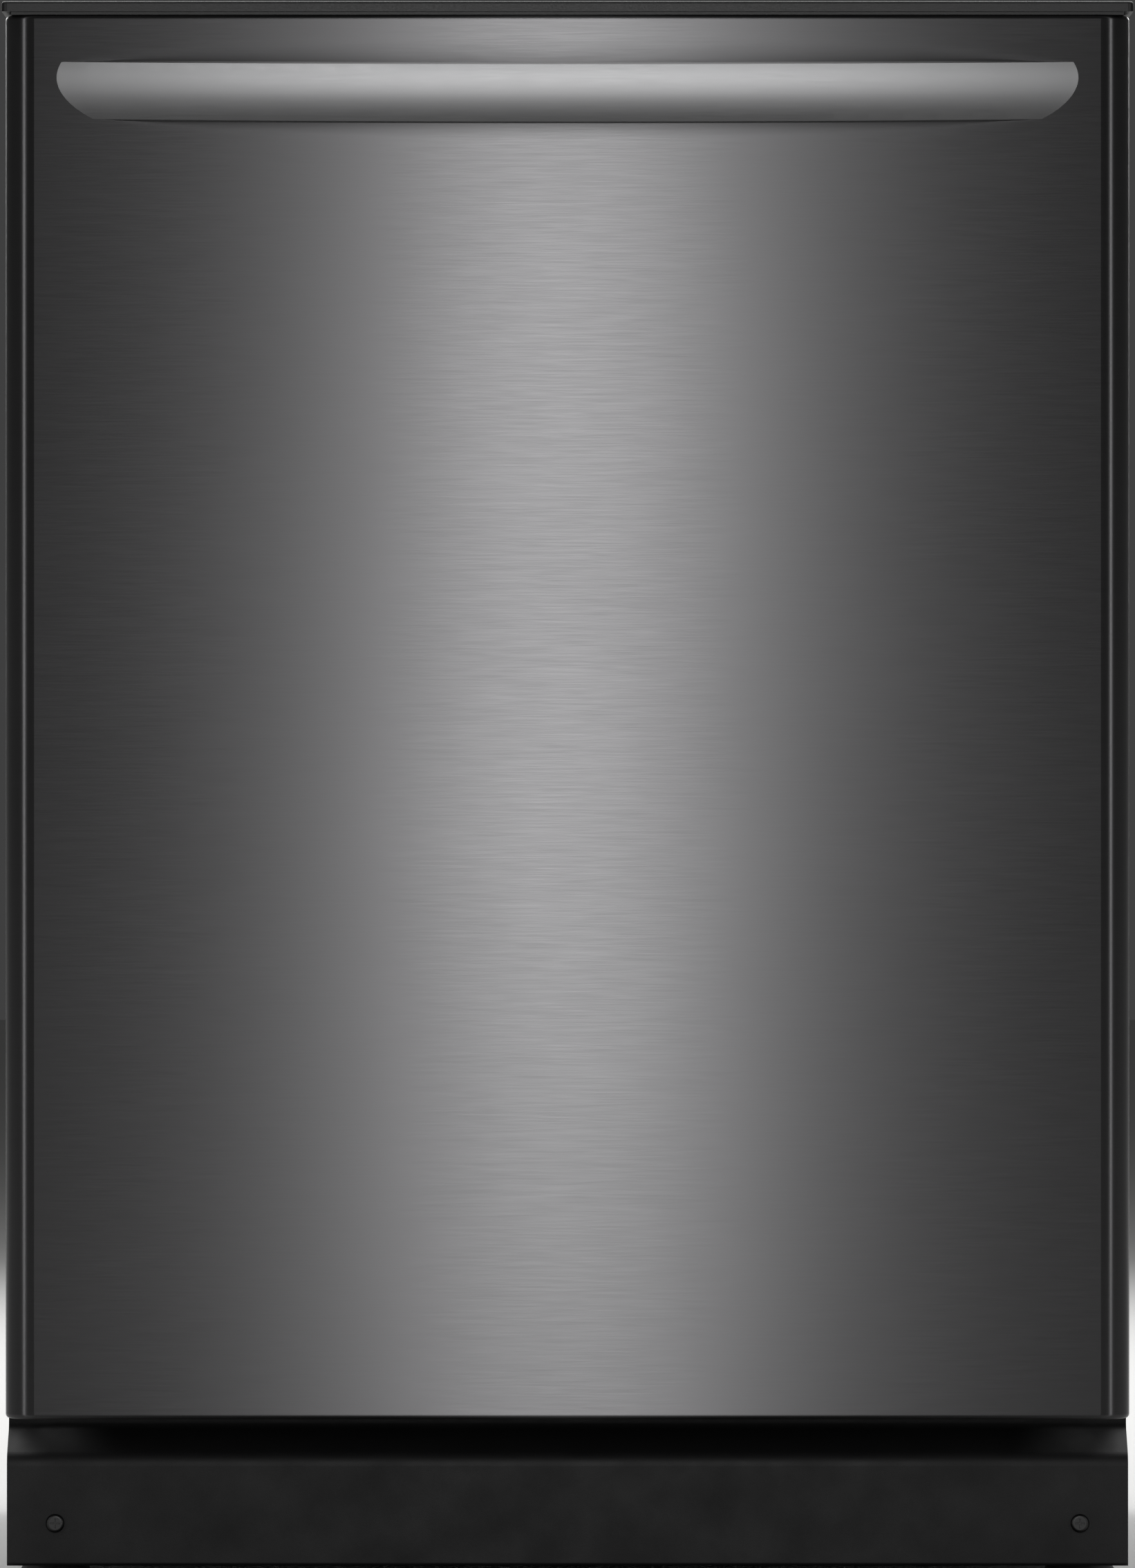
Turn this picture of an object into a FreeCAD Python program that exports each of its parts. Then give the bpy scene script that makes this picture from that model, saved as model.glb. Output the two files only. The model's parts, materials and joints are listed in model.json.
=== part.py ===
"""Built-in dishwasher, 24 inch class, with a bow handle, hidden top controls and a black front.

Millimetres, +Z up, the front faces -Y. The origin is on the floor, under the middle of the
machine's overall box, handle included. Each sub-part is one STEP file in parts/.
"""
import FreeCAD
import Part
import math
import os

V = FreeCAD.Vector

# driving dimensions
WIDTH = 606.0  # over the control console, the widest piece
HEIGHT = 845.0  # floor to console top
DEPTH = 597.0  # door front to rear of the base
HANDLE_OUT = 44.0  # how far the bow handle stands off the door

HANDLE_Z = 797.0
HANDLE_TALL = 32.5
HANDLE_HALF = 272.0
HANDLE_THICK = 12.0
HANDLE_FIX_X = 238.0
HANDLE_LEAN = 5.2  # degrees

DOOR_HALF = 301.5  # half width of the outer door panel
DOOR_LOW = 86.0
DOOR_TOP = 838.0
PANEL_DEPTH = 36.0
PANEL_SHEET = 1.0
PANEL_BEND = 16.0  # radius of the vertical front edges
LINER_HALF = 298.0
LINER_SHEET = 1.2
FLANGE_D = 50.0  # sealing face of the door liner, behind the door front
BOSS_D = 62.0  # deepest face of the liner's raised middle
HINGE_D = 30.0
HINGE_Z = 106.0
PIN_R = 5.0
RUN = 0.06  # radial running clearance of the pins

KICK_D = 38.0  # toe kick face, behind the door front
KICK_LOW = 5.0
KICK_BEND_Z = 63.5
KICK_TOP_D = 61.0
KICK_TOP_Z = 79.0
KICK_HALF = 302.0
KICK_SCREW_X = 276.0
KICK_SCREW_Z = 28.0

TUB_HALF = 272.0  # half width inside
TUB_TOP = 815.0
TUB_FRONT = 59.0
TUB_BACK = 587.0
TUB_SHEET = 1.2
TUB_CORNER = 30.0
LEDGE_Z = 138.0  # ledges that the lower rack rolls on
LIP_Z = 131.0
BASIN_Z = 122.0
FRAME_HALF = 300.0
FRAME_LOW = 120.0
FRAME_TOP = 834.0

ARM_D = 330.0  # spray arms turn about this point, on the centre line
LOWER_ARM_R = 205.0
MIDDLE_ARM_R = 190.0
FILTER_X = 62.0
FILTER_D = 275.0
FILTER_WELL_R = 50.0
FLOAT_X = 150.0
FLOAT_D = 140.0
HEATER_LEG_X = 22.0
HEATER_LEG_BACK = 163.0  # from the arms' axis back to the legs
HEATER_R = math.hypot(HEATER_LEG_X, HEATER_LEG_BACK)
PUMP_Z = 66.0  # both pumps' shafts
DRAIN_START = FILTER_X + FILTER_WELL_R + 4.2  # inner end of the drain pump
DRAIN_X = DRAIN_START + 13  # drain spigot
HOSE_HOLE_Z = 62.0
SIDE_PORT_X = 215.0  # water on the left, wiring on the right
INLET_R = 10.4
KNOCKOUT_R = 11.1
LOWER_ARM_Z = 149.0
MIDDLE_ARM_Z = 463.0
MANIFOLD_Z = 493.0
CEILING_TUBE_Z = 797.0

RACK_WIRE = 4.0
LOW_RACK_Z = 170.0
LOW_RACK_HALF = 232.0
LOW_RACK_REAR = 552.0
LOW_RACK_FRONT = 130.0  # foot of the sloping front
LOW_RACK_LIP = 82.0  # top of the sloping front
LOW_RACK_RIM = 286.0
WHEEL_R = 18.0
WHEEL_DS = (190.0, 500.0)
WHEEL_LIFT = 0.35  # running gap between a wheel and its ledge
TINE_XS = (-200.0, -145.0, -90.0, -35.0, 20.0, 75.0)
TINE_TOP = 246.0
BASKET_X = (108.0, 222.0)
BASKET_D = (190.0, 530.0)
BASKET_Z = (LOW_RACK_Z + RACK_WIRE + 0.4, 296.0)
BASKET_WALL = 2.2

TOP_RACK_Z = 505.0
TOP_RACK_HALF = 236.0
TOP_RACK_FRONT = 84.0
TOP_RACK_REAR = 552.0
TOP_RACK_RIM = 600.0
RAIL_Z = 575.0
RAIL_HEIGHT = 24.0
RAIL_FRONT = 75.0
RAIL_REAR = 560.0
ROLLER_R = 10.0
WALL_ROLLER_DS = (100.0, 300.0)
RACK_ROLLER_DS = (322.0, 543.0)
CUP_TINE_XS = (-150.0, -75.0, 71.0, 146.0)
CUP_TINE_TOP = 560.0

FOOT_R = 19.0
STEM_R = 5.0
RAIL_TOP = 136.0  # the tub floor's ledges rest here
FOOT_X = 278.0
FOOT_DS = (92.0, 560.0)
BRACKET_X = 230.0  # worktop tabs
SPRING_X = 284.0
SPRING_Z = 72.0

BUTTON_XS = (-170.0, -110.0, 110.0, 170.0)
BUTTON_D = 25.0
LENS_XS = (-30.0, -15.0, 0.0, 15.0, 30.0, 45.0)
CONSOLE_LOW = 839.6  # underside of the console cap

DISPENSER_X = (-88.0, 88.0)
DISPENSER_Z = (432.0, 592.0)
CUP_X = (-72.0, -12.0)
CUP_Z = (452.0, 512.0)
RINSE_X = 40.0
RINSE_Z = 558.0
RINSE_R = 17.0

FRONT_Y = HANDLE_OUT - (DEPTH + HANDLE_OUT) / 2


# helpers
def y_at(d):
    """Y of a plane that lies d behind the door's front face."""
    return FRONT_Y + d


def block(x, d, z):
    """Box from (low, high) pairs: across, behind the door front, and up."""
    return Part.makeBox(x[1] - x[0], d[1] - d[0], z[1] - z[0], V(x[0], y_at(d[0]), z[0]))


def rod(radius, start, end):
    """Cylinder between two (x, d, z) points."""
    a = V(start[0], y_at(start[1]), start[2])
    b = V(end[0], y_at(end[1]), end[2])
    return Part.makeCylinder(radius, (b - a).Length, a, b - a)


def tube(outer, inner, start, end):
    return rod(outer, start, end).cut(rod(inner, start, end))


def rounded(points, radii):
    """Closed list of line and arc edges through 2-D points whose corners have the given radii."""
    n = len(points)
    if not isinstance(radii, (list, tuple)):
        radii = [radii] * n
    corners = []
    for i in range(n):
        p = V(points[i][0], points[i][1], 0)
        before = (V(points[i - 1][0], points[i - 1][1], 0) - p).normalize()
        after = (V(points[(i + 1) % n][0], points[(i + 1) % n][1], 0) - p).normalize()
        r = radii[i]
        if r <= 0:
            corners.append((p, p, None))
            continue
        half = before.getAngle(after) / 2
        run = r / math.tan(half)
        middle = (before + after).normalize()
        centre = p + middle * (r / math.sin(half))
        corners.append((p + before * run, p + after * run, centre - middle * r))
    edges = []
    for i in range(n):
        start, end, bulge = corners[i]
        if bulge is not None:
            edges.append(Part.Arc(start, bulge, end).toShape())
        follow = corners[(i + 1) % n][0]
        if (follow - end).Length > 1e-6:
            edges.append(Part.LineSegment(end, follow).toShape())
    return edges


PLANES = {
    "xz": (V(1, 0, 0), V(0, 0, 1), V(0, 1, 0)),
    "yz": (V(0, 1, 0), V(0, 0, 1), V(1, 0, 0)),
    "xy": (V(1, 0, 0), V(0, 1, 0), V(0, 0, 1)),
}


def thickened(face, plane, low, high):
    """Moves a flat face drawn at the origin onto a plane and extrudes it from low to high."""
    u, v, n = PLANES[plane]
    face.transformShape(FreeCAD.Matrix(
        u.x, v.x, n.x, n.x * low,
        u.y, v.y, n.y, n.y * low + FRONT_Y,
        u.z, v.z, n.z, n.z * low,
        0, 0, 0, 1,
    ))
    return face.extrude(n * (high - low))


def prism(plane, points, low, high, radii=0.0):
    """Extrudes an outline from low to high along the plane's normal. Distances behind the
    door front are given as d, both in outlines and as the limits of an xz prism."""
    face = Part.Face(Part.Wire(rounded(points, radii)))
    return thickened(face, plane, low, high)


def rect(u, v):
    """Corner points of a rectangle from (low, high) pairs."""
    return [(u[0], v[0]), (u[1], v[0]), (u[1], v[1]), (u[0], v[1])]


def inset(pair, by):
    return (pair[0] + by, pair[1] - by)


def union(shapes):
    first = shapes[0]
    whole = first if len(shapes) == 1 else first.multiFuse(shapes[1:])
    return whole.removeSplitter()


def group(shapes):
    """Separate solids that share one node."""
    return Part.makeCompound(shapes)


def mirrored(shape):
    return shape.mirror(V(0, 0, 0), V(1, 0, 0))


def both_sides(shape):
    return group([shape, mirrored(shape)])


def edges_where(shape, test):
    return [e for e in shape.Edges if test(e.CenterOfMass, e)]


def save(name, shape):
    os.makedirs("parts", exist_ok=True)
    solids = shape.Solids
    bad = [s for s in solids if not s.isValid() or s.Volume <= 0]
    if bad or not solids:
        raise RuntimeError(f"{name}: {len(bad)} bad of {len(solids)} solids")
    kept = solids[0] if len(solids) == 1 else Part.makeCompound(solids)
    kept.exportStep(f"parts/{name}.step")
    print(f"{name}: {len(solids)} solid(s), {sum(s.Volume for s in solids) / 1000:.1f} cm3")


# door
def door_outer_panel():
    """Formed front sheet with broad rounded sides, returns all round and an inward rear flange."""
    outline = rect((-DOOR_HALF, DOOR_HALF), (0, PANEL_DEPTH))
    outer = prism("xy", outline, DOOR_LOW, DOOR_TOP, [PANEL_BEND, PANEL_BEND, 0, 0])
    rear = y_at(PANEL_DEPTH) - 0.5

    def at_level(level):
        return edges_where(outer, lambda c, e: abs(c.z - level) < 0.01 and c.y < rear)

    outer = outer.makeFillet(2.5, at_level(DOOR_LOW) + at_level(DOOR_TOP))
    s = PANEL_SHEET
    inside = rect(inset((-DOOR_HALF, DOOR_HALF), s), (s, PANEL_DEPTH - s))
    hollow = prism("xy", inside, DOOR_LOW + s, DOOR_TOP - s, [PANEL_BEND - s, PANEL_BEND - s, 0, 0])
    flange = 11.0
    window = block(inset((-DOOR_HALF, DOOR_HALF), flange), (20, PANEL_DEPTH + 1),
                   inset((DOOR_LOW, DOOR_TOP), flange))
    console_way = block((-280, 280), (12, PANEL_DEPTH + 1), (DOOR_TOP - 20, DOOR_TOP + 1))
    shell = outer.cut(hollow).cut(window).cut(console_way)
    ear_way = block((284.5, 299.4), (18, PANEL_DEPTH + 1), (DOOR_LOW - 1, DOOR_LOW + 42))
    shell = shell.cut(ear_way).cut(mirrored(ear_way))
    for x in (-HANDLE_FIX_X, HANDLE_FIX_X):
        shell = shell.cut(rod(2.6, (x, -1, HANDLE_Z), (x, 3, HANDLE_Z)))
    return shell


def door_handle():
    """Bow handle: a convex section turned about a far axis, leaning down a little towards its
    middle and trimmed flat on the door."""
    lean = math.radians(HANDLE_LEAN)
    front_r, front_rise = 43.0, 3.5
    reach = front_r + (HANDLE_OUT - front_r - front_rise * math.sin(lean)) / math.cos(lean)
    radius = (HANDLE_HALF**2 + reach**2) / (2 * reach)
    axis = V(0, y_at(radius - reach), 0)
    low = HANDLE_Z - HANDLE_TALL / 2
    high = HANDLE_Z + HANDLE_TALL / 2
    y0 = y_at(-reach)
    lower_front = V(0, y0 + 4.2, low + 1.2)
    upper_front = V(0, y0 + 1.7, high - 0.8)
    peak = V(0, y0, HANDLE_Z + front_rise)
    upper_back = V(0, y0 + HANDLE_THICK - 2.5, high)
    lower_back = V(0, y0 + HANDLE_THICK - 1.0, low)
    back = V(0, y0 + HANDLE_THICK, HANDLE_Z)
    section = Part.Wire([
        Part.Arc(lower_front, peak, upper_front).toShape(),
        Part.LineSegment(upper_front, upper_back).toShape(),
        Part.Arc(upper_back, back, lower_back).toShape(),
        Part.LineSegment(lower_back, lower_front).toShape(),
    ])
    sweep = math.degrees(math.asin((HANDLE_HALF + 30) / radius))
    face = Part.Face(section)
    face.rotate(axis, V(0, 0, 1), -sweep)
    bar = face.revolve(axis, V(0, 0, 1), 2 * sweep)
    bar.rotate(V(0, FRONT_Y, HANDLE_Z), V(1, 0, 0), HANDLE_LEAN)
    whole = bar.common(block((-300, 300), (-60, 0), (700, 900)))
    for x in (-HANDLE_FIX_X, HANDLE_FIX_X):
        whole = whole.cut(rod(2.0, (x, -6.5, HANDLE_Z), (x, 1, HANDLE_Z)))
    return whole


def handle_screws():
    """Two screws that hold the handle from inside the door."""
    screws = []
    for x in (-HANDLE_FIX_X, HANDLE_FIX_X):
        shank = rod(1.95, (x, -6, HANDLE_Z), (x, 1.1, HANDLE_Z))
        head = rod(5.0, (x, 1.1, HANDLE_Z), (x, 4.0, HANDLE_Z))
        screws.append(union([shank, head]))
    return group(screws)


def door_inner_liner():
    """Tray-shaped liner: a sealing flange with folded edges and a raised middle."""
    s = LINER_SHEET
    wide, tall = (-LINER_HALF, LINER_HALF), (94.0, 836.0)
    boss_wide, boss_tall = (-250.0, 250.0), (136.0, 800.0)

    def tray(by):
        base = prism("xz", rect(inset(wide, by), inset(tall, by)), 37.0, FLANGE_D - by, 8 - by)
        boss = prism("xz", rect(inset(boss_wide, by), inset(boss_tall, by)),
                     FLANGE_D - 6, BOSS_D - by, 30 - by)
        face_y = y_at(BOSS_D - by)
        boss = boss.makeFillet(7 - by, edges_where(boss, lambda c, e: abs(c.y - face_y) < 0.01))
        return union([base, boss])

    shell = tray(0).cut(tray(s))
    shell = shell.cut(block(inset(DISPENSER_X, 3), (30, 70), inset(DISPENSER_Z, 3)))
    shell = shell.cut(block((-14, 14), (40, 60), (827.5, 834.5)))
    corner = block((283, 305), (30, 60), (80, 134))
    return shell.cut(corner).cut(mirrored(corner))


def door_sound_pad():
    """Sound-absorbing pad between the outer panel and the liner."""
    pad = prism("xz", rect((-272, 272), (140, 780)), 3.0, 30.0, 20)
    return pad.cut(block((-100, 100), (0, 40), (420, 604)))


def control_console():
    """Cap along the door top that carries the hidden controls."""
    cap = prism("xy", rect((-WIDTH / 2, WIDTH / 2), (-0.5, FLANGE_D)), CONSOLE_LOW, HEIGHT, 3.0)
    top_edges = edges_where(cap, lambda c, e: abs(c.z - HEIGHT) < 0.01)
    cap = cap.makeFillet(1.2, top_edges)
    neck = block((-298, 298), (3, 47), (DOOR_TOP, CONSOLE_LOW))
    body = block((-278, 278), (13, 36), (808, DOOR_TOP))
    whole = union([cap, neck, body])
    whole = whole.cut(block((-272, 272), (15.5, 34.0), (811, 841.2)))
    strip = prism("xy", rect((-205, 205), (12, 38)), HEIGHT - 0.7, HEIGHT + 1, 4)
    whole = whole.cut(strip)
    for x in BUTTON_XS:
        whole = whole.cut(prism("xy", button_outline(x, 0.3), 838, HEIGHT + 1, 3))
    for x in LENS_XS:
        whole = whole.cut(rod(2.2, (x, BUTTON_D, 838), (x, BUTTON_D, HEIGHT + 1)))
    return whole


def button_outline(x, grow):
    return rect((x - 13 - grow, x + 13 + grow), (BUTTON_D - 6.5 - grow, BUTTON_D + 6.5 + grow))


def indicator_lenses():
    """Row of light guides for the status lights."""
    return group([rod(2.1, (x, BUTTON_D, 838.2), (x, BUTTON_D, HEIGHT - 0.4)) for x in LENS_XS])


def button(x):
    cap = prism("xy", button_outline(x, 0), 840.0, HEIGHT - 0.2, 2.75)
    top = edges_where(cap, lambda c, e: abs(c.z - (HEIGHT - 0.2)) < 0.01)
    cap = cap.makeFillet(0.5, top)
    flange = prism("xy", button_outline(x, 1.5), 839.0, 840.9, 3)
    return union([cap, flange])


def control_board():
    """Circuit board with a few parts, under the buttons."""
    board = block((-262, 262), (16.5, 31.5), (826, 827.6))
    parts = [block((x - 3, x + 3), (BUTTON_D - 3, BUTTON_D + 3), (827.6, 833)) for x in BUTTON_XS]
    parts.append(block((-10, 30), (18, 30), (827.6, 832)))
    return union([board] + parts)


def latch_housing():
    body = block((-32, 32), (37.2 + LINER_SHEET, FLANGE_D - LINER_SHEET - 0.1), (803, 834.6))
    slot = block((-12, 12), (40.2, 60), (828, 835))
    return body.cut(slot)


def dispenser_housing():
    """Recessed body with the detergent cup, a track for its lid and the rinse aid filler."""
    plate = prism("xz", rect(DISPENSER_X, DISPENSER_Z), BOSS_D + 0.1, BOSS_D + 4.0, 12)
    body = block(inset(DISPENSER_X, 3.4), (33, BOSS_D + 0.1), inset(DISPENSER_Z, 3.4))
    whole = union([plate, body])
    whole = whole.cut(prism("xz", rect(CUP_X, CUP_Z), 36.5, 80, 8))
    whole = whole.cut(block(inset(DISPENSER_X, 6.5), (30, 34.5), inset(DISPENSER_Z, 6.5)))
    for low, high in ((CUP_Z[0] - 7.0, CUP_Z[0] - 4.5), (CUP_Z[1] + 4.5, CUP_Z[1] + 7.0)):
        rail = block((DISPENSER_X[0] + 6, DISPENSER_X[1] - 6), (BOSS_D + 3.9, BOSS_D + 7.0), (low, high))
        whole = whole.fuse(rail)
    whole = whole.cut(rod(RINSE_R + 0.3, (RINSE_X, 40, RINSE_Z), (RINSE_X, 80, RINSE_Z)))
    return whole.removeSplitter()


def dispenser_lid():
    """Cover that slides sideways off the detergent cup."""
    plate = prism("xz", rect((CUP_X[0] - 4, CUP_X[1] + 4), (CUP_Z[0] - 4, CUP_Z[1] + 4)),
                  BOSS_D + 4.3, BOSS_D + 6.6, 5)
    grip = prism("xz", rect((CUP_X[1] - 10, CUP_X[1] - 4), (CUP_Z[0] + 8, CUP_Z[1] - 8)),
                 BOSS_D + 6.6, BOSS_D + 9.4, 2.5)
    return union([plate, grip])


def rinse_aid_cap():
    """Quarter-turn cap with a finger bar."""
    stem = rod(RINSE_R, (RINSE_X, 46, RINSE_Z), (RINSE_X, BOSS_D + 4.3, RINSE_Z))
    head = rod(RINSE_R + 3, (RINSE_X, BOSS_D + 4.3, RINSE_Z), (RINSE_X, BOSS_D + 7.3, RINSE_Z))
    bar = prism("xz", rect((RINSE_X - 15, RINSE_X + 15), (RINSE_Z - 3, RINSE_Z + 3)),
                BOSS_D + 7.3, BOSS_D + 10.8, 2.9)
    return union([stem, head, bar])


def hinge_arms():
    """Steel arms inside the door's sides, each with the bore of its hinge pivot."""
    outline = [(HINGE_D - 10, HINGE_Z - 10), (HINGE_D + 10, HINGE_Z - 10),
               (HINGE_D + 10, HINGE_Z + 24), (32, 190), (32, 330), (18, 330), (18, 190),
               (HINGE_D - 10, HINGE_Z + 24)]
    arm = prism("yz", outline, 279.5, 282.5, [9.5, 9.5, 4, 10, 3, 3, 10, 4])
    bore = rod(PIN_R + RUN, (278, HINGE_D, HINGE_Z), (284, HINGE_D, HINGE_Z))
    return both_sides(arm.cut(bore))


# cabinet
def hinge_brackets():
    """Fixed plates on the base rails. Each carries a pivot pin for a hinge arm."""
    outline = [(HINGE_D - 8, HINGE_Z - 8), (65, HINGE_Z - 8), (65, 30), (104, 30), (104, 117),
               (70, 117), (65, HINGE_Z + 8), (HINGE_D - 8, HINGE_Z + 8)]
    ear = prism("yz", outline, 291.5, 295.5, [7.5, 4, 3, 3, 3, 3, 3, 7.5])
    pin = rod(PIN_R, (277.5, HINGE_D, HINGE_Z), (291.5, HINGE_D, HINGE_Z))
    bracket = union([ear, pin])
    for d, z in ((84, 45), (84, 100)):
        bracket = bracket.cut(rod(3.2, (290, d, z), (297, d, z)))
    return both_sides(bracket)


def tub_wrap():
    """Sides and top of the wash tub, one bent sheet."""
    outer = [(-TUB_HALF - TUB_SHEET, LEDGE_Z), (TUB_HALF + TUB_SHEET, LEDGE_Z),
             (TUB_HALF + TUB_SHEET, TUB_TOP + TUB_SHEET), (-TUB_HALF - TUB_SHEET, TUB_TOP + TUB_SHEET)]
    inner = [(-TUB_HALF, LEDGE_Z - 5), (TUB_HALF, LEDGE_Z - 5), (TUB_HALF, TUB_TOP), (-TUB_HALF, TUB_TOP)]
    skin = prism("xz", outer, TUB_FRONT, TUB_BACK, [0, 0, TUB_CORNER + TUB_SHEET, TUB_CORNER + TUB_SHEET])
    return skin.cut(prism("xz", inner, TUB_FRONT - 1, TUB_BACK + 1, [0, 0, TUB_CORNER, TUB_CORNER]))


def tub_back():
    """Rear wall of the tub with three pressed ribs on its outside."""
    half = TUB_HALF + TUB_SHEET
    corners = [0, 0, TUB_CORNER + TUB_SHEET, TUB_CORNER + TUB_SHEET]
    plate = prism("xz", rect((-half, half), (LEDGE_Z, TUB_TOP + TUB_SHEET)), TUB_BACK,
                  TUB_BACK + TUB_SHEET, corners)
    ribs = [prism("xz", rect((-200, 200), (z - 9, z + 9)), TUB_BACK + TUB_SHEET, TUB_BACK + 5, 8.9)
            for z in (280, 440, 600)]
    return union([plate] + ribs)


def floor_terrain(level):
    """Solid whose top is the tub floor: side ledges, a sloping basin and a cone to the sump."""
    half = TUB_HALF + TUB_SHEET
    slab = block((-half, half), (TUB_FRONT, TUB_BACK + TUB_SHEET), (90 + level, LEDGE_Z + level))
    step = block((-half - 1, half + 1), (TUB_FRONT - 1, 66 - level), (LIP_Z + level, LEDGE_Z + level + 1))
    top = Part.Wire(rounded_at(rect((-212, 212), (72, 572)), LEDGE_Z + level + 0.01, 40))
    low = Part.Wire(rounded_at(rect((-192, 192), (92, 552)), BASIN_Z + level, 40))
    basin = Part.makeLoft([low, top], True, True)
    cone = Part.makeCone(96, 170, 6, V(0, y_at(ARM_D), BASIN_Z - 5.99 + level), V(0, 0, 1))
    return slab.cut(step).cut(basin).cut(cone)


def rounded_at(points, z, radius):
    edges = []
    for e in rounded(points, radius):
        e.translate(V(0, FRONT_Y, z))
        edges.append(e)
    return edges


def tub_floor():
    """Bottom of the tub: a thin pan with openings for the wash outlet, filter and float."""
    sheet = 2.0
    pan = floor_terrain(0).cut(floor_terrain(-sheet))
    pan = pan.cut(rod(26.5, (0, ARM_D, 80), (0, ARM_D, 140)))
    pan = pan.cut(rod(FILTER_WELL_R + 1, (FILTER_X, FILTER_D, 80), (FILTER_X, FILTER_D, 140)))
    pan = pan.cut(rod(6.5, (FLOAT_X, FLOAT_D, 80), (FLOAT_X, FLOAT_D, 140)))
    for x in (-HEATER_LEG_X, HEATER_LEG_X):
        pan = pan.cut(rod(5.0, (x, ARM_D + HEATER_LEG_BACK, 80), (x, ARM_D + HEATER_LEG_BACK, 140)))
    return pan.cut(block((-22.2, 22.2), (565.8, 584.2), (80, 140)))


def front_frame():
    """Steel ring round the tub opening."""
    outer = rect((-FRAME_HALF, FRAME_HALF), (FRAME_LOW, FRAME_TOP))
    opening = rect((-TUB_HALF, TUB_HALF), (LIP_Z, TUB_TOP))
    ring = prism("xz", outer, 57.0, TUB_FRONT, 4)
    ring = ring.cut(prism("xz", opening, 50, 65, [4, 4, TUB_CORNER, TUB_CORNER]))
    edge = prism("xz", outer, TUB_FRONT, TUB_FRONT + 15, 4)
    inside = rect(inset((-FRAME_HALF, FRAME_HALF), 1.5), inset((FRAME_LOW, FRAME_TOP), 1.5))
    edge = edge.cut(prism("xz", inside, 50, 90, 2.5))
    edge = edge.cut(block((-310, 310), (50, 90), (FRAME_LOW - 5, FRAME_LOW + 10)))
    return union([ring, edge])


def tub_gasket():
    """Door seal on three sides of the opening."""
    outer = [(-293, LIP_Z), (293, LIP_Z), (293, 826.5), (-293, 826.5)]
    inner = [(-280, LIP_Z - 5), (280, LIP_Z - 5), (280, 818.5), (-280, 818.5)]
    seal = prism("xz", outer, 50.4, 57.0, [0, 0, 32, 32])
    seal = seal.cut(prism("xz", inner, 45, 60, [0, 0, 24, 24]))
    front_y = y_at(50.4)
    front = edges_where(seal, lambda c, e: abs(c.y - front_y) < 0.01 and e.Length > 30)
    return seal.makeFillet(2.5, front)


def latch_strike():
    """Hook plate on the frame that the door latch closes on."""
    foot = block((-24, 24), (55.4, 57.0), (827.2, 833.6))
    tongue = block((-9, 9), (42, 55.4), (830.2, 832.6))
    return union([foot, tongue]).cut(block((-4, 4), (44, 49), (829, 834)))


def sound_blanket():
    """Felt blanket over the top and both sides of the tub."""
    gap, thick = 0.6, 9.0
    inner_half = TUB_HALF + TUB_SHEET + gap
    inner_top = TUB_TOP + TUB_SHEET + gap
    outer = rect((-inner_half - thick, inner_half + thick), (160, inner_top + thick))
    inner = rect((-inner_half, inner_half), (150, inner_top))
    radius = TUB_CORNER + TUB_SHEET + gap
    skin = prism("xz", outer, 80, 580, [0, 0, radius + thick, radius + thick])
    return skin.cut(prism("xz", inner, 70, 590, [0, 0, radius, radius]))


def base_rail(side):
    """Side rail: an upright web with a foot flange, a top flange under the tub and a front tab."""
    web = block((295.6, 297.6), (41, DEPTH), (24, RAIL_TOP))
    foot = block((262, 297.6), (60, DEPTH), (24, 26.5))
    top = block((262, 297.6), (76, DEPTH), (RAIL_TOP - 2, RAIL_TOP))
    tab = block((258, 297.6), (KICK_D + 1.4, KICK_D + 3.4), (10, 48))
    low_web = block((295.6, 297.6), (KICK_D + 1.4, 75), (10, 26))
    rail = union([web, foot, top, tab, low_web])
    nose = [(30, 44), (52, 58), (65, 74), (65, RAIL_TOP + 5), (30, RAIL_TOP + 5)]
    rail = rail.cut(prism("yz", nose, 290, 300))
    for d in FOOT_DS:
        rail = rail.cut(rod(STEM_R + RUN, (FOOT_X, d, 20), (FOOT_X, d, 30)))
    rail = rail.cut(rod(2.0, (KICK_SCREW_X, 30, KICK_SCREW_Z), (KICK_SCREW_X, 50, KICK_SCREW_Z)))
    for d, z in ((84, 45), (84, 100)):
        rail = rail.cut(rod(3.2, (290, d, z), (300, d, z)))
    for d in (180, 300, 420, 520):
        rail = rail.cut(rod(9.0, (290, d, 75), (300, d, 75)))
    return rail if side > 0 else mirrored(rail)


def foot_nuts():
    """Collars on the rails that the feet's stems pass through."""
    nuts = []
    for d in FOOT_DS:
        nut = tube(10, STEM_R + RUN, (FOOT_X, d, 26.5), (FOOT_X, d, 38.5))
        nuts += [nut, mirrored(nut)]
    return group(nuts)


def foot(x, d):
    """Levelling foot: a round pad with a hexagon grip, on a plain stem."""
    pad = Part.makeCone(FOOT_R, FOOT_R - 4, 7, V(x, y_at(d), 0), V(0, 0, 1))
    hexagon = [(x + 8.5 * math.cos(math.radians(60 * k)), d + 8.5 * math.sin(math.radians(60 * k)))
               for k in range(6)]
    grip = prism("xy", hexagon, 7, 15)
    stem = rod(STEM_R, (x, d, 15), (x, d, 62))
    return union([pad, grip, stem])


def cross_member(d, half, hole_xs):
    """Channel across the base, with round holes for hoses and wiring."""
    z = (40, 84)
    web = block((-half, half), (d, d + 1.6), z)
    shelf = block((-half, half), (d, d + 8), (z[0], z[0] + 1.6))
    top = block((-half, half), (d, d + 8), (z[1] - 1.6, z[1]))
    bar = union([web, shelf, top])
    for x in hole_xs:
        bar = bar.cut(rod(18, (x, d - 5, HOSE_HOLE_Z), (x, d + 12, HOSE_HOLE_Z)))
    return bar


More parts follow.
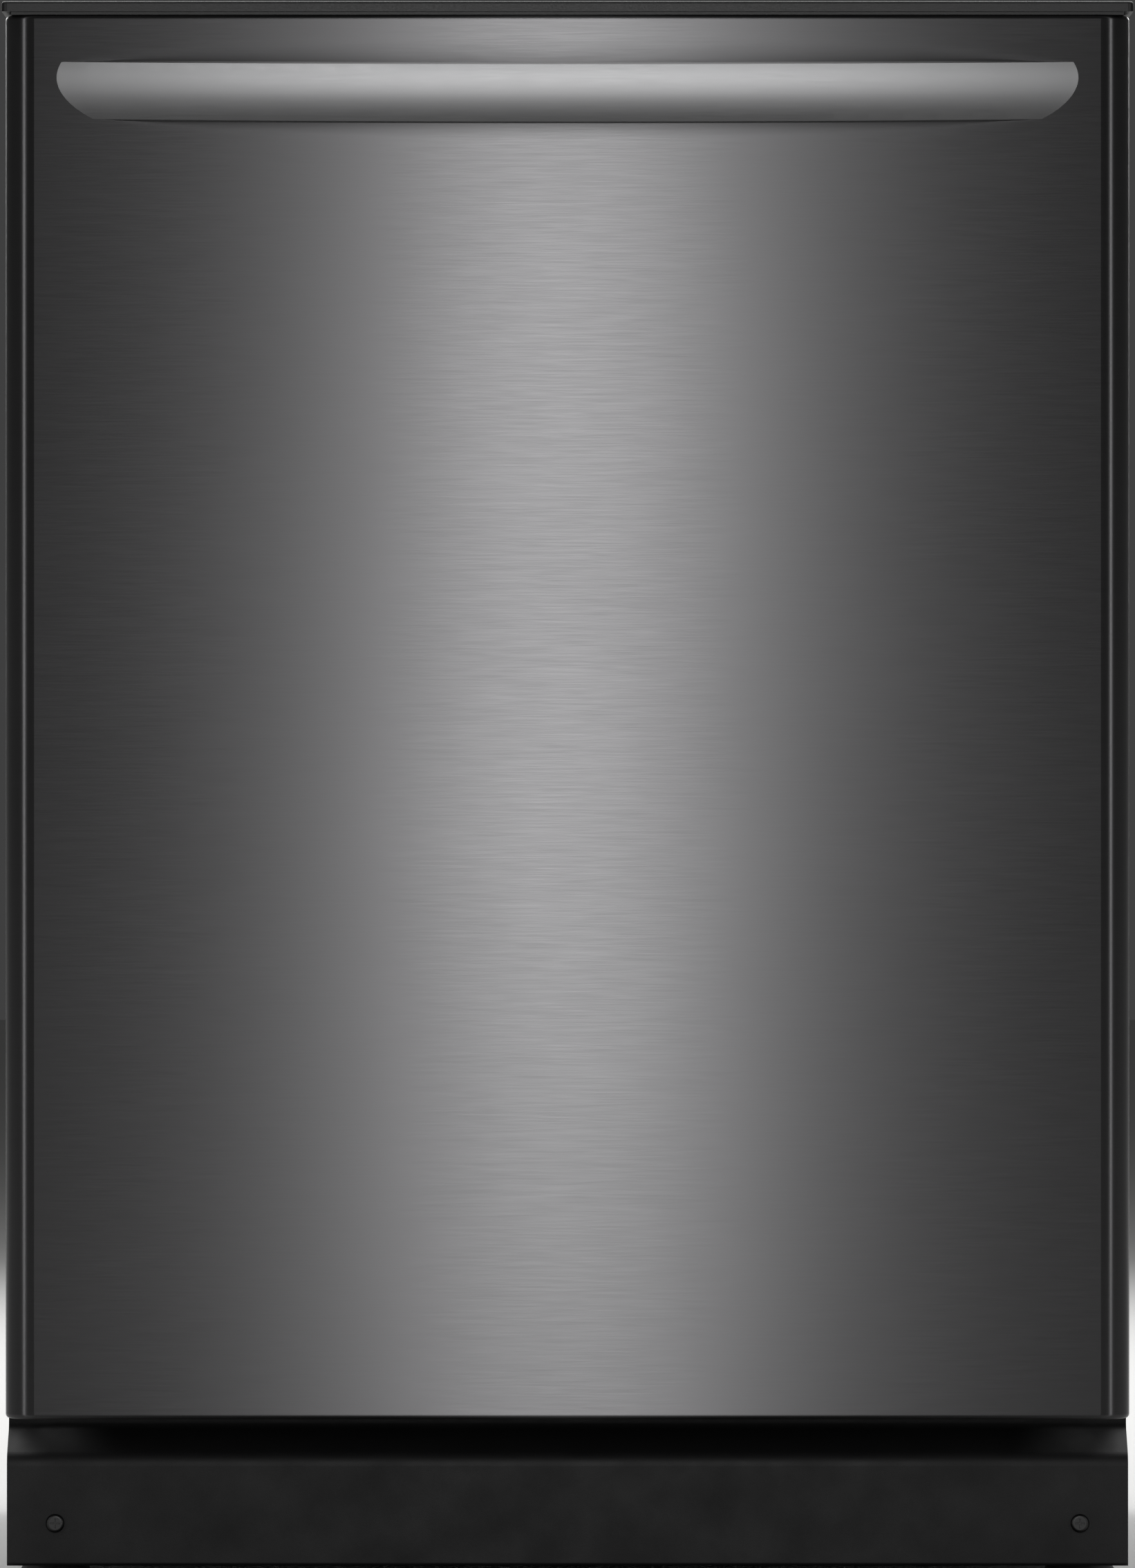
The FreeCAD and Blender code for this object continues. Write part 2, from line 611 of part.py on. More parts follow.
def toe_kick():
    """Black panel below the door: an upright face that leans back under the door, closed ends."""
    s = 1.2
    face = [(KICK_D, KICK_LOW), (KICK_D, KICK_BEND_Z), (KICK_TOP_D, KICK_TOP_Z), (KICK_TOP_D, 84)]
    back = [(KICK_TOP_D + s, 84), (KICK_TOP_D + s, KICK_TOP_Z - 0.6), (KICK_D + s, KICK_BEND_Z - 0.6),
            (KICK_D + s, KICK_LOW + s), (KICK_D + 14, KICK_LOW + s), (KICK_D + 14, KICK_LOW)]
    radii = [1.8, 9, 6, 0, 0, 6 + s, 9 - s, 0.6, 0, 0]
    sheet = prism("yz", face + back, -KICK_HALF, KICK_HALF, radii)
    end = [(KICK_D, KICK_LOW), (KICK_D, KICK_BEND_Z), (KICK_TOP_D, KICK_TOP_Z), (KICK_TOP_D, 84),
           (KICK_TOP_D + 12, 84), (KICK_TOP_D + 12, 42), (KICK_D + 14, KICK_LOW)]
    cheek = prism("yz", end, KICK_HALF - s, KICK_HALF, [1.8, 9, 6, 0, 0, 0, 0])
    whole = union([sheet, cheek, mirrored(cheek)])
    hole = rod(2.6, (KICK_SCREW_X, 30, KICK_SCREW_Z), (KICK_SCREW_X, 60, KICK_SCREW_Z))
    return whole.cut(hole).cut(mirrored(hole))


def toe_kick_screws():
    """Pan-head screws with a cross recess."""
    x, z = KICK_SCREW_X, KICK_SCREW_Z
    head = rod(5.0, (x, KICK_D - 2.6, z), (x, KICK_D, z))
    rim = edges_where(head, lambda c, e: abs(c.y - y_at(KICK_D - 2.6)) < 0.01)
    head = head.makeFillet(1.6, rim)
    shank = rod(1.95, (x, KICK_D, z), (x, KICK_D + 12, z))
    screw = union([head, shank])
    for wide, tall in ((2.6, 0.45), (0.45, 2.6)):
        screw = screw.cut(block((x - wide, x + wide), (KICK_D - 3, KICK_D - 1.2), (z - tall, z + tall)))
    return both_sides(screw)


def counter_brackets():
    """Two tabs that screw up into the underside of the worktop."""
    tab = prism("xy", rect((BRACKET_X - 14, BRACKET_X + 14), (52, 75.5)), 840.5, 842, [6, 6, 0, 0])
    foot_plate = block((BRACKET_X - 14, BRACKET_X + 14), (59.5, 75.5), (FRAME_TOP, FRAME_TOP + 1.5))
    rise = block((BRACKET_X - 14, BRACKET_X + 14), (74, 75.5), (FRAME_TOP, 842))
    bracket = union([foot_plate, rise, tab])
    return both_sides(bracket.cut(rod(2.5, (BRACKET_X, 63, 838), (BRACKET_X, 63, 845))))


def sump():
    """Moulded bowl under the tub: the filter well and the wash outlet tower."""
    well = rod(FILTER_WELL_R + 4, (FILTER_X, FILTER_D, 46), (FILTER_X, FILTER_D, 113.5))
    tower = rod(34, (0, ARM_D, 46), (0, ARM_D, 113.5))
    link = block((-20, 55), (275, 345), (50, 100))
    body = union([well, tower, link])
    body = body.cut(rod(FILTER_WELL_R, (FILTER_X, FILTER_D, 50), (FILTER_X, FILTER_D, 130)))
    body = body.cut(rod(16, (0, ARM_D, 52), (0, ARM_D, 130)))
    neck = tube(25, 16, (0, ARM_D, 113.5), (0, ARM_D, 141))
    body = body.fuse(neck)
    body = body.cut(rod(8, (0, ARM_D, 70), (FILTER_X, FILTER_D, 70)))
    return body.removeSplitter()


def wash_pump():
    """Circulation pump: volute, motor can and end bell, lying across under the tub."""
    z, d = PUMP_Z, ARM_D
    volute = rod(36, (-66, d, z), (-36.5, d, z))
    can = rod(33, (-168, d, z), (-66, d, z))
    bell = rod(26, (-180, d, z), (-168, d, z))
    feet = [block((-160 + k * 60, -146 + k * 60), (d - 30, d + 30), (28, 50)) for k in (0, 1)]
    outlet = rod(11, (-50, d, z), (-50, d + 60, z))
    return union([volute, can, bell, outlet] + feet)


def drain_pump():
    """Small pump on the filter well, with a hose spigot and its stop collar pointing to the rear."""
    z, d, start = PUMP_Z, FILTER_D, DRAIN_START
    volute = rod(25, (start, d, z), (start + 26, d, z))
    motor = block((start + 26, start + 70), (d - 22, d + 22), (z - 22, z + 22))
    spigot = rod(9.5, (DRAIN_X, d, z), (DRAIN_X, d + 70, z))
    stop = rod(12, (DRAIN_X, d + 15, z), (DRAIN_X, d + 27, z))
    bore = rod(7.0, (DRAIN_X, d, z), (DRAIN_X, d + 71, z))
    return union([volute, motor, spigot, stop]).cut(bore)


def heating_element():
    """Open ring of tube in the basin with two legs through the floor."""
    z = BASIN_Z + 9
    circle = Part.Face(Part.Wire(Part.makeCircle(4, V(0, y_at(ARM_D) + HEATER_R, z), V(1, 0, 0))))
    gap = math.degrees(math.asin(HEATER_LEG_X / HEATER_R))
    circle.rotate(V(0, y_at(ARM_D), 0), V(0, 0, 1), gap)
    ring = circle.revolve(V(0, y_at(ARM_D), 0), V(0, 0, 1), 360 - 2 * gap)
    legs = []
    leg_d = ARM_D + HEATER_LEG_BACK
    for x in (-HEATER_LEG_X, HEATER_LEG_X):
        legs.append(rod(4, (x, leg_d, 96), (x, leg_d, z)))
        legs.append(Part.makeSphere(4, V(x, y_at(leg_d), z)))
    return union([ring] + legs)


def coarse_filter():
    """Perforated plate round the filter cup."""
    plate = tube(FILTER_WELL_R - 0.4, 36.8, (FILTER_X, FILTER_D, 112), (FILTER_X, FILTER_D, 113.8))
    holes = []
    for k in range(24):
        a = math.radians(15 * k)
        x, d = FILTER_X + 43 * math.cos(a), FILTER_D + 43 * math.sin(a)
        holes.append(rod(1.9, (x, d, 111), (x, d, 115)))
    ledge = tube(FILTER_WELL_R - 0.4, FILTER_WELL_R - 3, (FILTER_X, FILTER_D, 100), (FILTER_X, FILTER_D, 112))
    return plate.cut(Part.makeCompound(holes)).fuse(ledge).removeSplitter()


def filter_cup():
    """Cylinder filter that twists to unlock, with a finger grip on top."""
    x, d = FILTER_X, FILTER_D
    body = tube(36, 34, (x, d, 60), (x, d, 118))
    floor = rod(36, (x, d, 58), (x, d, 60))
    rim = tube(36, 30, (x, d, 115), (x, d, 118))
    grip = prism("xy", rect((x - 31, x + 31), (d - 3, d + 3)), 113, 126, 2.5)
    return union([body, floor, rim, grip])


def float_cap():
    """Dome that the water lifts to trip the overfill switch."""
    x, d = FLOAT_X, FLOAT_D
    dome = rod(20, (x, d, BASIN_Z + 0.4), (x, d, BASIN_Z + 26))
    top = edges_where(dome, lambda c, e: abs(c.z - BASIN_Z - 26) < 0.01)
    dome = dome.makeFillet(9, top)
    dome = dome.cut(rod(17.5, (x, d, BASIN_Z - 1), (x, d, BASIN_Z + 20)))
    stem = rod(5.5, (x, d, 98), (x, d, BASIN_Z + 22))
    return union([dome, stem])


def wash_feed_tube():
    """Flat conduit up the rear wall and along the ceiling, with a docking port for the upper rack."""
    low, high = CEILING_TUBE_Z, CEILING_TUBE_Z + 15
    outer = [(566, 118), (584, 118), (584, high), (ARM_D - 24, high), (ARM_D - 24, low), (566, low)]
    inner = [(568, 117), (582, 117), (582, high - 2), (ARM_D - 22, high - 2),
             (ARM_D - 22, low + 2), (568, low + 2)]
    conduit = prism("yz", outer, -22, 22, [2, 2, 26, 5, 5, 12])
    port = rod(14, (0, 552.5, MANIFOLD_Z), (0, 567, MANIFOLD_Z))
    whole = union([conduit, port]).cut(prism("yz", inner, -20, 20, [0, 0, 24, 3, 3, 14]))
    whole = whole.cut(rod(8.5, (0, 545, MANIFOLD_Z), (0, 575, MANIFOLD_Z)))
    return whole.cut(rod(11, (0, ARM_D, 790), (0, ARM_D, 802)))


def top_spray_nozzle():
    """Fixed shower head under the end of the ceiling conduit."""
    neck = tube(14, 10.5, (0, ARM_D, 786), (0, ARM_D, 796.9))
    disc = Part.makeCone(24, 30, 8, V(0, y_at(ARM_D), 778), V(0, 0, 1))
    whole = neck.fuse(disc).cut(rod(10.5, (0, ARM_D, 780.5), (0, ARM_D, 797)))
    for k in range(8):
        a = math.radians(45 * k)
        x, d = 6.5 * math.cos(a), ARM_D + 6.5 * math.sin(a)
        whole = whole.cut(rod(1.4, (x, d, 777), (x, d, 782)))
    return whole.removeSplitter()


def rail_rollers():
    """Rollers on studs in the tub walls. The slide rails run on them."""
    rollers = []
    for d in WALL_ROLLER_DS:
        wheel = rod(ROLLER_R, (262.4, d, RAIL_Z), (269, d, RAIL_Z))
        stud = rod(5, (269, d, RAIL_Z), (TUB_HALF, d, RAIL_Z))
        roller = union([wheel, stud])
        rollers += [roller, mirrored(roller)]
    return group(rollers)


def rack_rail(side):
    """Slide rail: an H section that runs on the wall rollers and carries the rack's rollers."""
    t = 1.5
    low, high = RAIL_Z - RAIL_HEIGHT / 2, RAIL_Z + RAIL_HEIGHT / 2
    span = (RAIL_FRONT, RAIL_REAR)
    web = block((260.0, 261.5), span, (low, high))
    bottom = block((251.0, 270.6), span, (low, low + t))
    top = block((251.0, 270.6), span, (high - t, high))
    lips = [block((251.0, 252.0), span, (low, low + 4)), block((251.0, 252.0), span, (high - 4, high))]
    front = block((251.0, 261.5), (RAIL_FRONT, RAIL_FRONT + 4), (low, high))
    rear = block((251.0, 261.5), (RAIL_REAR - 3, RAIL_REAR), (low, high))
    rail = union([web, bottom, top, front, rear] + lips)
    return rail if side > 0 else mirrored(rail)


def inlet_valve():
    """Solenoid water valve on the left, its threaded port to the rear."""
    x, d, z = -SIDE_PORT_X, 150.0, HOSE_HOLE_Z
    body = block((x - 20, x + 20), (d - 20, d + 25), (z - 16, z + 16))
    coil = rod(14, (x, d, z + 16), (x, d, z + 42))
    port = rod(INLET_R, (x, d + 25, z), (x, d + 60, z))
    plate = block((x - 24, x + 24), (d - 22, d - 20), (z - 35, z + 20))
    whole = union([body, coil, port, plate])
    return whole.cut(rod(7, (x, d + 5, z), (x, d + 61, z)))


def junction_box():
    """Steel wiring box on the right with a cable knock-out at the rear."""
    x, d, z = (175, 255), (100, 190), (34, 84)
    tray = block(x, d, z).cut(block(inset(x, 1.2), inset(d, 1.2), (z[0] + 1.2, z[1] + 1)))
    lid = block(x, d, (z[1], z[1] + 1.2))
    middle_z = (z[0] + z[1]) / 2
    knockout = rod(KNOCKOUT_R, (SIDE_PORT_X, d[1] - 5, middle_z), (SIDE_PORT_X, d[1] + 2, middle_z))
    return union([tray, lid]).cut(knockout)


def door_springs():
    """Counterbalance springs along the base rails, with the rods that pull on the hinge arms."""
    x, z = SPRING_X, SPRING_Z
    start, end = 270, 400
    coil = tube(8.0, 5.5, (x, start, z), (x, end, z))
    pull_rod = rod(1.6, (x, 112, z), (x, start + 1, z))
    front_cap = tube(5.5, 1.55, (x, start, z), (x, start + 4, z))
    hook = rod(1.6, (x, end - 2, z), (x, end + 30, z))
    rear_cap = tube(5.5, 1.55, (x, end - 4, z), (x, end, z))
    anchor = block((x - 3, 295.6), (end + 30, end + 34), (z - 8, z + 8))
    return both_sides(union([coil, pull_rod, front_cap, hook, rear_cap, anchor]))


# racks
def lattice(plane, u, v, low, high, u_bars, v_bars, wire=RACK_WIRE):
    """Flat welded grid. u and v are its outer limits. The bars stand at even spacing."""
    wires = [Part.Wire(rounded(rect(u, v), 0))]
    du = (u[1] - u[0] - wire) / (u_bars - 1)
    dv = (v[1] - v[0] - wire) / (v_bars - 1)
    for i in range(u_bars - 1):
        for j in range(v_bars - 1):
            hu = (u[0] + wire + i * du, u[0] + (i + 1) * du)
            hv = (v[0] + wire + j * dv, v[0] + (j + 1) * dv)
            wires.append(Part.Wire(rounded(rect(hu, hv), 0)))
    return thickened(Part.makeFace(wires, "Part::FaceMakerBullseye"), plane, low, high)


def comb(plane, u_start, pitch, count, base, top, low, high, wire=RACK_WIRE):
    """Row of upright tines on a base bar, cut from one outline."""
    bar = rect((u_start, u_start + pitch * (count - 1) + wire), (base, base + wire))
    pieces = [prism(plane, bar, low, high)]
    for k in range(count):
        u = u_start + k * pitch
        pieces.append(prism(plane, rect((u, u + wire), (base, top)), low, high))
    return union(pieces)


def lower_rack_floor():
    return lattice("xy", (-LOW_RACK_HALF, LOW_RACK_HALF), (LOW_RACK_FRONT, LOW_RACK_REAR),
                   LOW_RACK_Z, LOW_RACK_Z + RACK_WIRE, 19, 16)


def lower_rack_walls():
    """Grid walls on the floor's edges: sides, rear and a front that leans out."""
    low, high, w = LOW_RACK_Z + RACK_WIRE, LOW_RACK_RIM, RACK_WIRE
    side = lattice("yz", (LOW_RACK_FRONT, LOW_RACK_REAR), (low, high),
                   LOW_RACK_HALF - w, LOW_RACK_HALF, 12, 4)
    rear = lattice("xz", inset((-LOW_RACK_HALF, LOW_RACK_HALF), w), (low, high),
                   LOW_RACK_REAR - w, LOW_RACK_REAR, 13, 4)
    run = math.hypot(LOW_RACK_FRONT - LOW_RACK_LIP, high - low)
    front = lattice("xz", inset((-LOW_RACK_HALF, LOW_RACK_HALF), w), (0, run), 0, w, 13, 4)
    front.translate(V(0, LOW_RACK_FRONT, low))
    lean = math.degrees(math.atan2(LOW_RACK_FRONT - LOW_RACK_LIP, high - low))
    front.rotate(V(0, y_at(LOW_RACK_FRONT), low), V(1, 0, 0), lean)
    bars = []
    for sign in (-1, 1):
        outline = [(LOW_RACK_FRONT - 2, low + 6), (LOW_RACK_FRONT - 2, high),
                   (LOW_RACK_LIP + 8, high), (LOW_RACK_LIP + 12, high - 8),
                   (LOW_RACK_FRONT - 6, high - 8), (LOW_RACK_FRONT - 6, low + 15)]
        start = LOW_RACK_HALF - w if sign > 0 else -LOW_RACK_HALF
        bars.append(prism("yz", outline, start, start + w))
    return group([side, mirrored(side), rear, front] + bars)


def lower_rack_tines():
    """Plate tines: combs that stand on the rack floor."""
    rows = []
    for x in TINE_XS:
        rows.append(comb("yz", 178, 30, 12, LOW_RACK_Z + RACK_WIRE, TINE_TOP, x, x + RACK_WIRE))
    return group(rows)


def cutlery_basket():
    """Open box with dividers and a carrying handle."""
    w = BASKET_WALL
    body = block(BASKET_X, BASKET_D, BASKET_Z)
    centre = (BASKET_X[0] + BASKET_X[1]) / 2
    length = (BASKET_D[1] - BASKET_D[0] - w) / 4
    for k in range(4):
        cell_d = (BASKET_D[0] + w + k * length, BASKET_D[0] + (k + 1) * length)
        for cell_x in ((BASKET_X[0] + w, centre - w / 2), (centre + w / 2, BASKET_X[1] - w)):
            body = body.cut(block(cell_x, cell_d, (BASKET_Z[0] + w, BASKET_Z[1] + 1)))
    mid = (BASKET_D[0] + BASKET_D[1]) / 2
    top = BASKET_Z[1]
    stems = [block((centre - 1.4, centre + 1.4), (d - 5, d + 5), (top - 4, top + 34))
             for d in (mid - 60, mid + 60)]
    bar = block((centre - 5, centre + 5), (mid - 65, mid + 65), (top + 30, top + 38))
    return union([body, bar] + stems)


def wheel_carriers():
    """Clips on the lower rack that hold the wheel axles."""
    clips = []
    for d in WHEEL_DS:
        z = wheel_z()
        top = LOW_RACK_Z + 24
        outline = [(d - 10, z - 8), (d + 10, z - 8), (d + 14, top), (d - 14, top)]
        plate = prism("yz", outline, LOW_RACK_HALF + 0.2, LOW_RACK_HALF + 4, [7, 7, 3, 3])
        axle = rod(4.0, (LOW_RACK_HALF + 4, d, z), (LOW_RACK_HALF + 22, d, z))
        clip = union([plate, axle])
        clips += [clip, mirrored(clip)]
    return group(clips)


def wheel_z():
    return LEDGE_Z + WHEEL_LIFT + WHEEL_R


def rack_wheel(side, d):
    """Lower rack wheel with a rounded tread, bored for its axle."""
    z = wheel_z()
    x0, x1 = LOW_RACK_HALF + 6, LOW_RACK_HALF + 18
    wheel = rod(WHEEL_R, (x0, d, z), (x1, d, z))
    tread = edges_where(wheel, lambda c, e: e.Length > 50 and e.Curve.TypeId == "Part::GeomCircle")
    wheel = wheel.makeFillet(2.0, tread)
    wheel = wheel.cut(tube(13.5, 8, (x1 - 3.5, d, z), (x1 + 1, d, z)))
    wheel = wheel.cut(rod(4.0 + RUN, (x0 - 1, d, z), (x1 + 1, d, z)))
    return wheel if side > 0 else mirrored(wheel)


def spray_arm(z, radius, thick, hub_r, bore, nozzle_up):
    """Two-bladed hollow arm with a round hub and a row of nozzles along each blade."""
    def blades(by):
        shapes = []
        for sign in (-1, 1):
            x_tip = sign * (radius - by)
            outline = [(0, -21 + by), (x_tip, -12 + by), (x_tip, 12 - by), (0, 21 - by)]
            flat = prism("xy", [(p[0], ARM_D + p[1]) for p in outline], z + by * 0.8, z + thick - by * 0.8,
                         [0, 11 - by, 11 - by, 0])
            shapes.append(flat)
        shapes.append(rod(hub_r - by, (0, ARM_D, z + by * 0.8), (0, ARM_D, z + thick - by * 0.8)))
        return union(shapes)

    arm = blades(0)
    edges = edges_where(arm, lambda c, e: abs(e.BoundBox.ZLength) < 0.01)
    arm = arm.makeFillet(2.2, edges).cut(blades(2.4))
    boss_r = bore + 4
    level = (z - 6, z + thick - 1.5) if nozzle_up else (z + 1.5, z + thick + 5.5)
    boss = rod(boss_r, (0, ARM_D, level[0]), (0, ARM_D, level[1]))
    arm = arm.fuse(boss)
    blind = (level[0] - 1, level[1] - 2) if nozzle_up else (level[0] + 2, level[1] + 1)
    arm = arm.cut(rod(bore, (0, ARM_D, blind[0]), (0, ARM_D, blind[1])))
    start = z + thick / 2 if nozzle_up else z - 2
    for sign in (-1, 1):
        for k in range(5):
            x = sign * (45 + k * (radius - 70) / 4)
            d = ARM_D + (4 if k % 2 else -4) * sign
            arm = arm.cut(rod(1.5, (x, d, start), (x, d, z + thick + 2)))
    return arm.removeSplitter()


def lower_spray_arm():
    return spray_arm(LOWER_ARM_Z, LOWER_ARM_R, 13.0, 30.0, 12.0, True)


def arm_spindle():
    """Fixed outlet that the lower arm turns on."""
    z0 = 141.0
    flange = tube(20, 9, (0, ARM_D, z0), (0, ARM_D, z0 + 1.6))
    post = tube(12.0 - RUN, 9, (0, ARM_D, z0), (0, ARM_D, 157.0))
    return union([flange, post])


def middle_spray_arm():
    return spray_arm(MIDDLE_ARM_Z, MIDDLE_ARM_R, 12.0, 26.0, 11.0, False)


def upper_rack_manifold():
    """Tube under the upper rack that takes water from the dock to the middle arm."""
    centre = V(0, y_at(ARM_D), MANIFOLD_Z)
    run = tube(11, 8.5, (0, ARM_D, MANIFOLD_Z), (0, 552.0, MANIFOLD_Z))
    end = Part.makeSphere(11, centre).cut(Part.makeSphere(8.5, centre))
    whole = run.fuse(end.cut(block((-20, 20), (ARM_D, ARM_D + 30), (470, 510))))
    drop = rod(11 - RUN, (0, ARM_D, 468.5), (0, ARM_D, 486))
    collar = rod(15, (0, ARM_D, 481.0), (0, ARM_D, 484))
    whole = whole.fuse(drop).fuse(collar)
    whole = whole.cut(rod(8, (0, ARM_D, 468), (0, ARM_D, MANIFOLD_Z)))
    hook = [block((-16, 16), (d - 4, d + 4), (503, TOP_RACK_Z)) for d in (380, 500)]
    return whole.fuse(hook[0]).fuse(hook[1]).removeSplitter()


def upper_rack_floor():
    return lattice("xy", (-TOP_RACK_HALF, TOP_RACK_HALF), (TOP_RACK_FRONT, TOP_RACK_REAR),
                   TOP_RACK_Z, TOP_RACK_Z + RACK_WIRE, 19, 17)


def upper_rack_walls():
    low, high, w = TOP_RACK_Z + RACK_WIRE, TOP_RACK_RIM, RACK_WIRE
    length = (TOP_RACK_FRONT, TOP_RACK_REAR)
    side = lattice("yz", length, (low, high), TOP_RACK_HALF - w, TOP_RACK_HALF, 14, 4)
    across = inset((-TOP_RACK_HALF, TOP_RACK_HALF), w)
    rear = lattice("xz", across, (low, high), TOP_RACK_REAR - w, TOP_RACK_REAR, 15, 4)
    front = lattice("xz", across, (low, high - 12), TOP_RACK_FRONT, TOP_RACK_FRONT + w, 15, 4)
    return group([side, mirrored(side), rear, front])


def upper_rack_tines():
    rows = []
    for x in CUP_TINE_XS:
        rows.append(comb("yz", 130, 40, 10, TOP_RACK_Z + RACK_WIRE, CUP_TINE_TOP, x, x + RACK_WIRE))
    return group(rows)


def upper_rack_rollers():
    """Rollers on the upper rack's sides. They run inside the slide rails."""
    rollers = []
    for d in RACK_ROLLER_DS:
        wheel = rod(ROLLER_R, (252.6, d, RAIL_Z), (259.4, d, RAIL_Z))
        stud = rod(3.5, (TOP_RACK_HALF + 2.5, d, RAIL_Z), (252.6, d, RAIL_Z))
        plate = prism("yz", rect((d - 8, d + 8), (RAIL_Z - 30, RAIL_Z + 20)), TOP_RACK_HALF + 0.2,
                      TOP_RACK_HALF + 2.5, 4)
        roller = union([wheel, stud, plate])
        rollers += [roller, mirrored(roller)]
    return group(rollers)


# assembly
def build():
    save("door_outer_panel", door_outer_panel())
    save("door_handle", door_handle())
    save("handle_screws", handle_screws())
    save("door_inner_liner", door_inner_liner())
    save("door_sound_pad", door_sound_pad())
    save("control_console", control_console())
    save("indicator_lenses", indicator_lenses())
    for k, x in enumerate(BUTTON_XS):
        save(f"button_{k + 1}", button(x))
    save("control_board", control_board())
    save("latch_housing", latch_housing())
    save("dispenser_housing", dispenser_housing())
    save("dispenser_lid", dispenser_lid())
    save("rinse_aid_cap", rinse_aid_cap())
    save("hinge_arms", hinge_arms())
    save("hinge_brackets", hinge_brackets())
    save("tub_shell", group([tub_wrap(), tub_back()]))
    save("tub_floor", tub_floor())
    save("front_frame", front_frame())
    save("tub_gasket", tub_gasket())
    save("latch_strike", latch_strike())
    save("sound_blanket", sound_blanket())
    save("base_rails", group([base_rail(1), base_rail(-1), *foot_nuts().Solids]))
    rear_member = cross_member(DEPTH - 8, 295.6, [DRAIN_X, -SIDE_PORT_X, SIDE_PORT_X])
    save("base_cross_members", group([cross_member(76, 291.5, []), rear_member]))
    for end, d in zip(("front", "rear"), FOOT_DS):
        save(f"foot_{end}_left", foot(-FOOT_X, d))
        save(f"foot_{end}_right", foot(FOOT_X, d))
    save("toe_kick", toe_kick())
    save("toe_kick_screws", toe_kick_screws())
    save("counter_brackets", counter_brackets())
    save("sump", group([sump(), arm_spindle()]))
    save("wash_pump", wash_pump())
    save("drain_pump", drain_pump())
    save("heating_element", heating_element())
    save("coarse_filter", coarse_filter())
    save("filter_cup", filter_cup())
    save("float_cap", float_cap())
    save("wash_feed_tube", wash_feed_tube())
    save("top_spray_nozzle", top_spray_nozzle())
    save("rail_rollers", rail_rollers())
    save("rack_rail_left", rack_rail(-1))
    save("rack_rail_right", rack_rail(1))
    save("inlet_valve", inlet_valve())
    save("junction_box", junction_box())
    save("door_springs", door_springs())
    save("lower_rack_floor", group([lower_rack_floor(), *lower_rack_tines().Solids]))
    save("lower_rack_walls", group([*lower_rack_walls().Solids, *wheel_carriers().Solids]))
    save("cutlery_basket", cutlery_basket())
    for end, d in zip(("front", "rear"), WHEEL_DS):
        save(f"rack_wheel_{end}_left", rack_wheel(-1, d))
        save(f"rack_wheel_{end}_right", rack_wheel(1, d))
    save("lower_spray_arm", lower_spray_arm())
    save("middle_spray_arm", middle_spray_arm())
    save("upper_rack_floor", group([upper_rack_floor(), *upper_rack_tines().Solids]))
    save("upper_rack_walls", group([*upper_rack_walls().Solids, *upper_rack_rollers().Solids]))
    save("upper_rack_manifold", upper_rack_manifold())


build()
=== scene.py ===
import bpy, bmesh, json, math
from mathutils import Matrix, Vector, noise

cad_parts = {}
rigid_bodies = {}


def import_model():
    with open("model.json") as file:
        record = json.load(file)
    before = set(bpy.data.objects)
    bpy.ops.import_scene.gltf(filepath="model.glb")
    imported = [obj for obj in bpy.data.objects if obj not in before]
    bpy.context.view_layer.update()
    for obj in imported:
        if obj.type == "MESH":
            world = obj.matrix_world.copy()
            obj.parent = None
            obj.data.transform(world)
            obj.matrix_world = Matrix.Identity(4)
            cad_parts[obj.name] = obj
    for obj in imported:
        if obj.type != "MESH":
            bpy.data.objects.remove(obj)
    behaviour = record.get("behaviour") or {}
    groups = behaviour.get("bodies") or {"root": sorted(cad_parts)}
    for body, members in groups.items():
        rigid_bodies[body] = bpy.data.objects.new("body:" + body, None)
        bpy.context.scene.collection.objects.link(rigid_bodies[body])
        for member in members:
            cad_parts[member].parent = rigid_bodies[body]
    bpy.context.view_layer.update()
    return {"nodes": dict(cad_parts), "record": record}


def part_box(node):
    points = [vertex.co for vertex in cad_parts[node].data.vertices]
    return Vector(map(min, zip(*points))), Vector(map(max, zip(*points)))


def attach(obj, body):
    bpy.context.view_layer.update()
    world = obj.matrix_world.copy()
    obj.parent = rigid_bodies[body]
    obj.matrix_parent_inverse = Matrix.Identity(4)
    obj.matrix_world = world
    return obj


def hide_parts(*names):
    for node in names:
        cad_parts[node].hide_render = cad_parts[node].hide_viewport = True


for leftover in list(bpy.data.objects):
    bpy.data.objects.remove(leftover)

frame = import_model()
cadNodes = frame["nodes"]
slotOf = {entry["node"]: entry["material_slot"] for entry in frame["record"]["subparts"]}
bodyOf = {node: body for body, members in frame["record"]["behaviour"]["bodies"].items() for node in members}
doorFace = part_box("door_outer_panel")[0].y
print("frame loaded:", len(cadNodes), "nodes")


# materials: helpers first, then one function for each kind of surface
def addNode(tree, kind, **values):
    node = tree.nodes.new(kind)
    for key, value in values.items():
        if key in node.inputs:
            node.inputs[key].default_value = value
        else:
            setattr(node, key, value)
    return node


def newMaterial(name):
    material = bpy.data.materials.new(name)
    material.use_nodes = True
    tree = material.node_tree
    return material, tree, tree.nodes["Principled BSDF"]


def noiseField(tree, scale, stretch=(1, 1, 1), detail=4.0, rough=0.55):
    # noise in metres of the piece's own space; stretch squeezes it along each axis
    place = addNode(tree, "ShaderNodeTexCoord")
    mapping = addNode(tree, "ShaderNodeMapping")
    mapping.inputs["Scale"].default_value = stretch
    field = addNode(tree, "ShaderNodeTexNoise", Scale=scale, Detail=detail, Roughness=rough)
    tree.links.new(place.outputs["Object"], mapping.inputs["Vector"])
    tree.links.new(mapping.outputs["Vector"], field.inputs["Vector"])
    return field.outputs["Fac"]


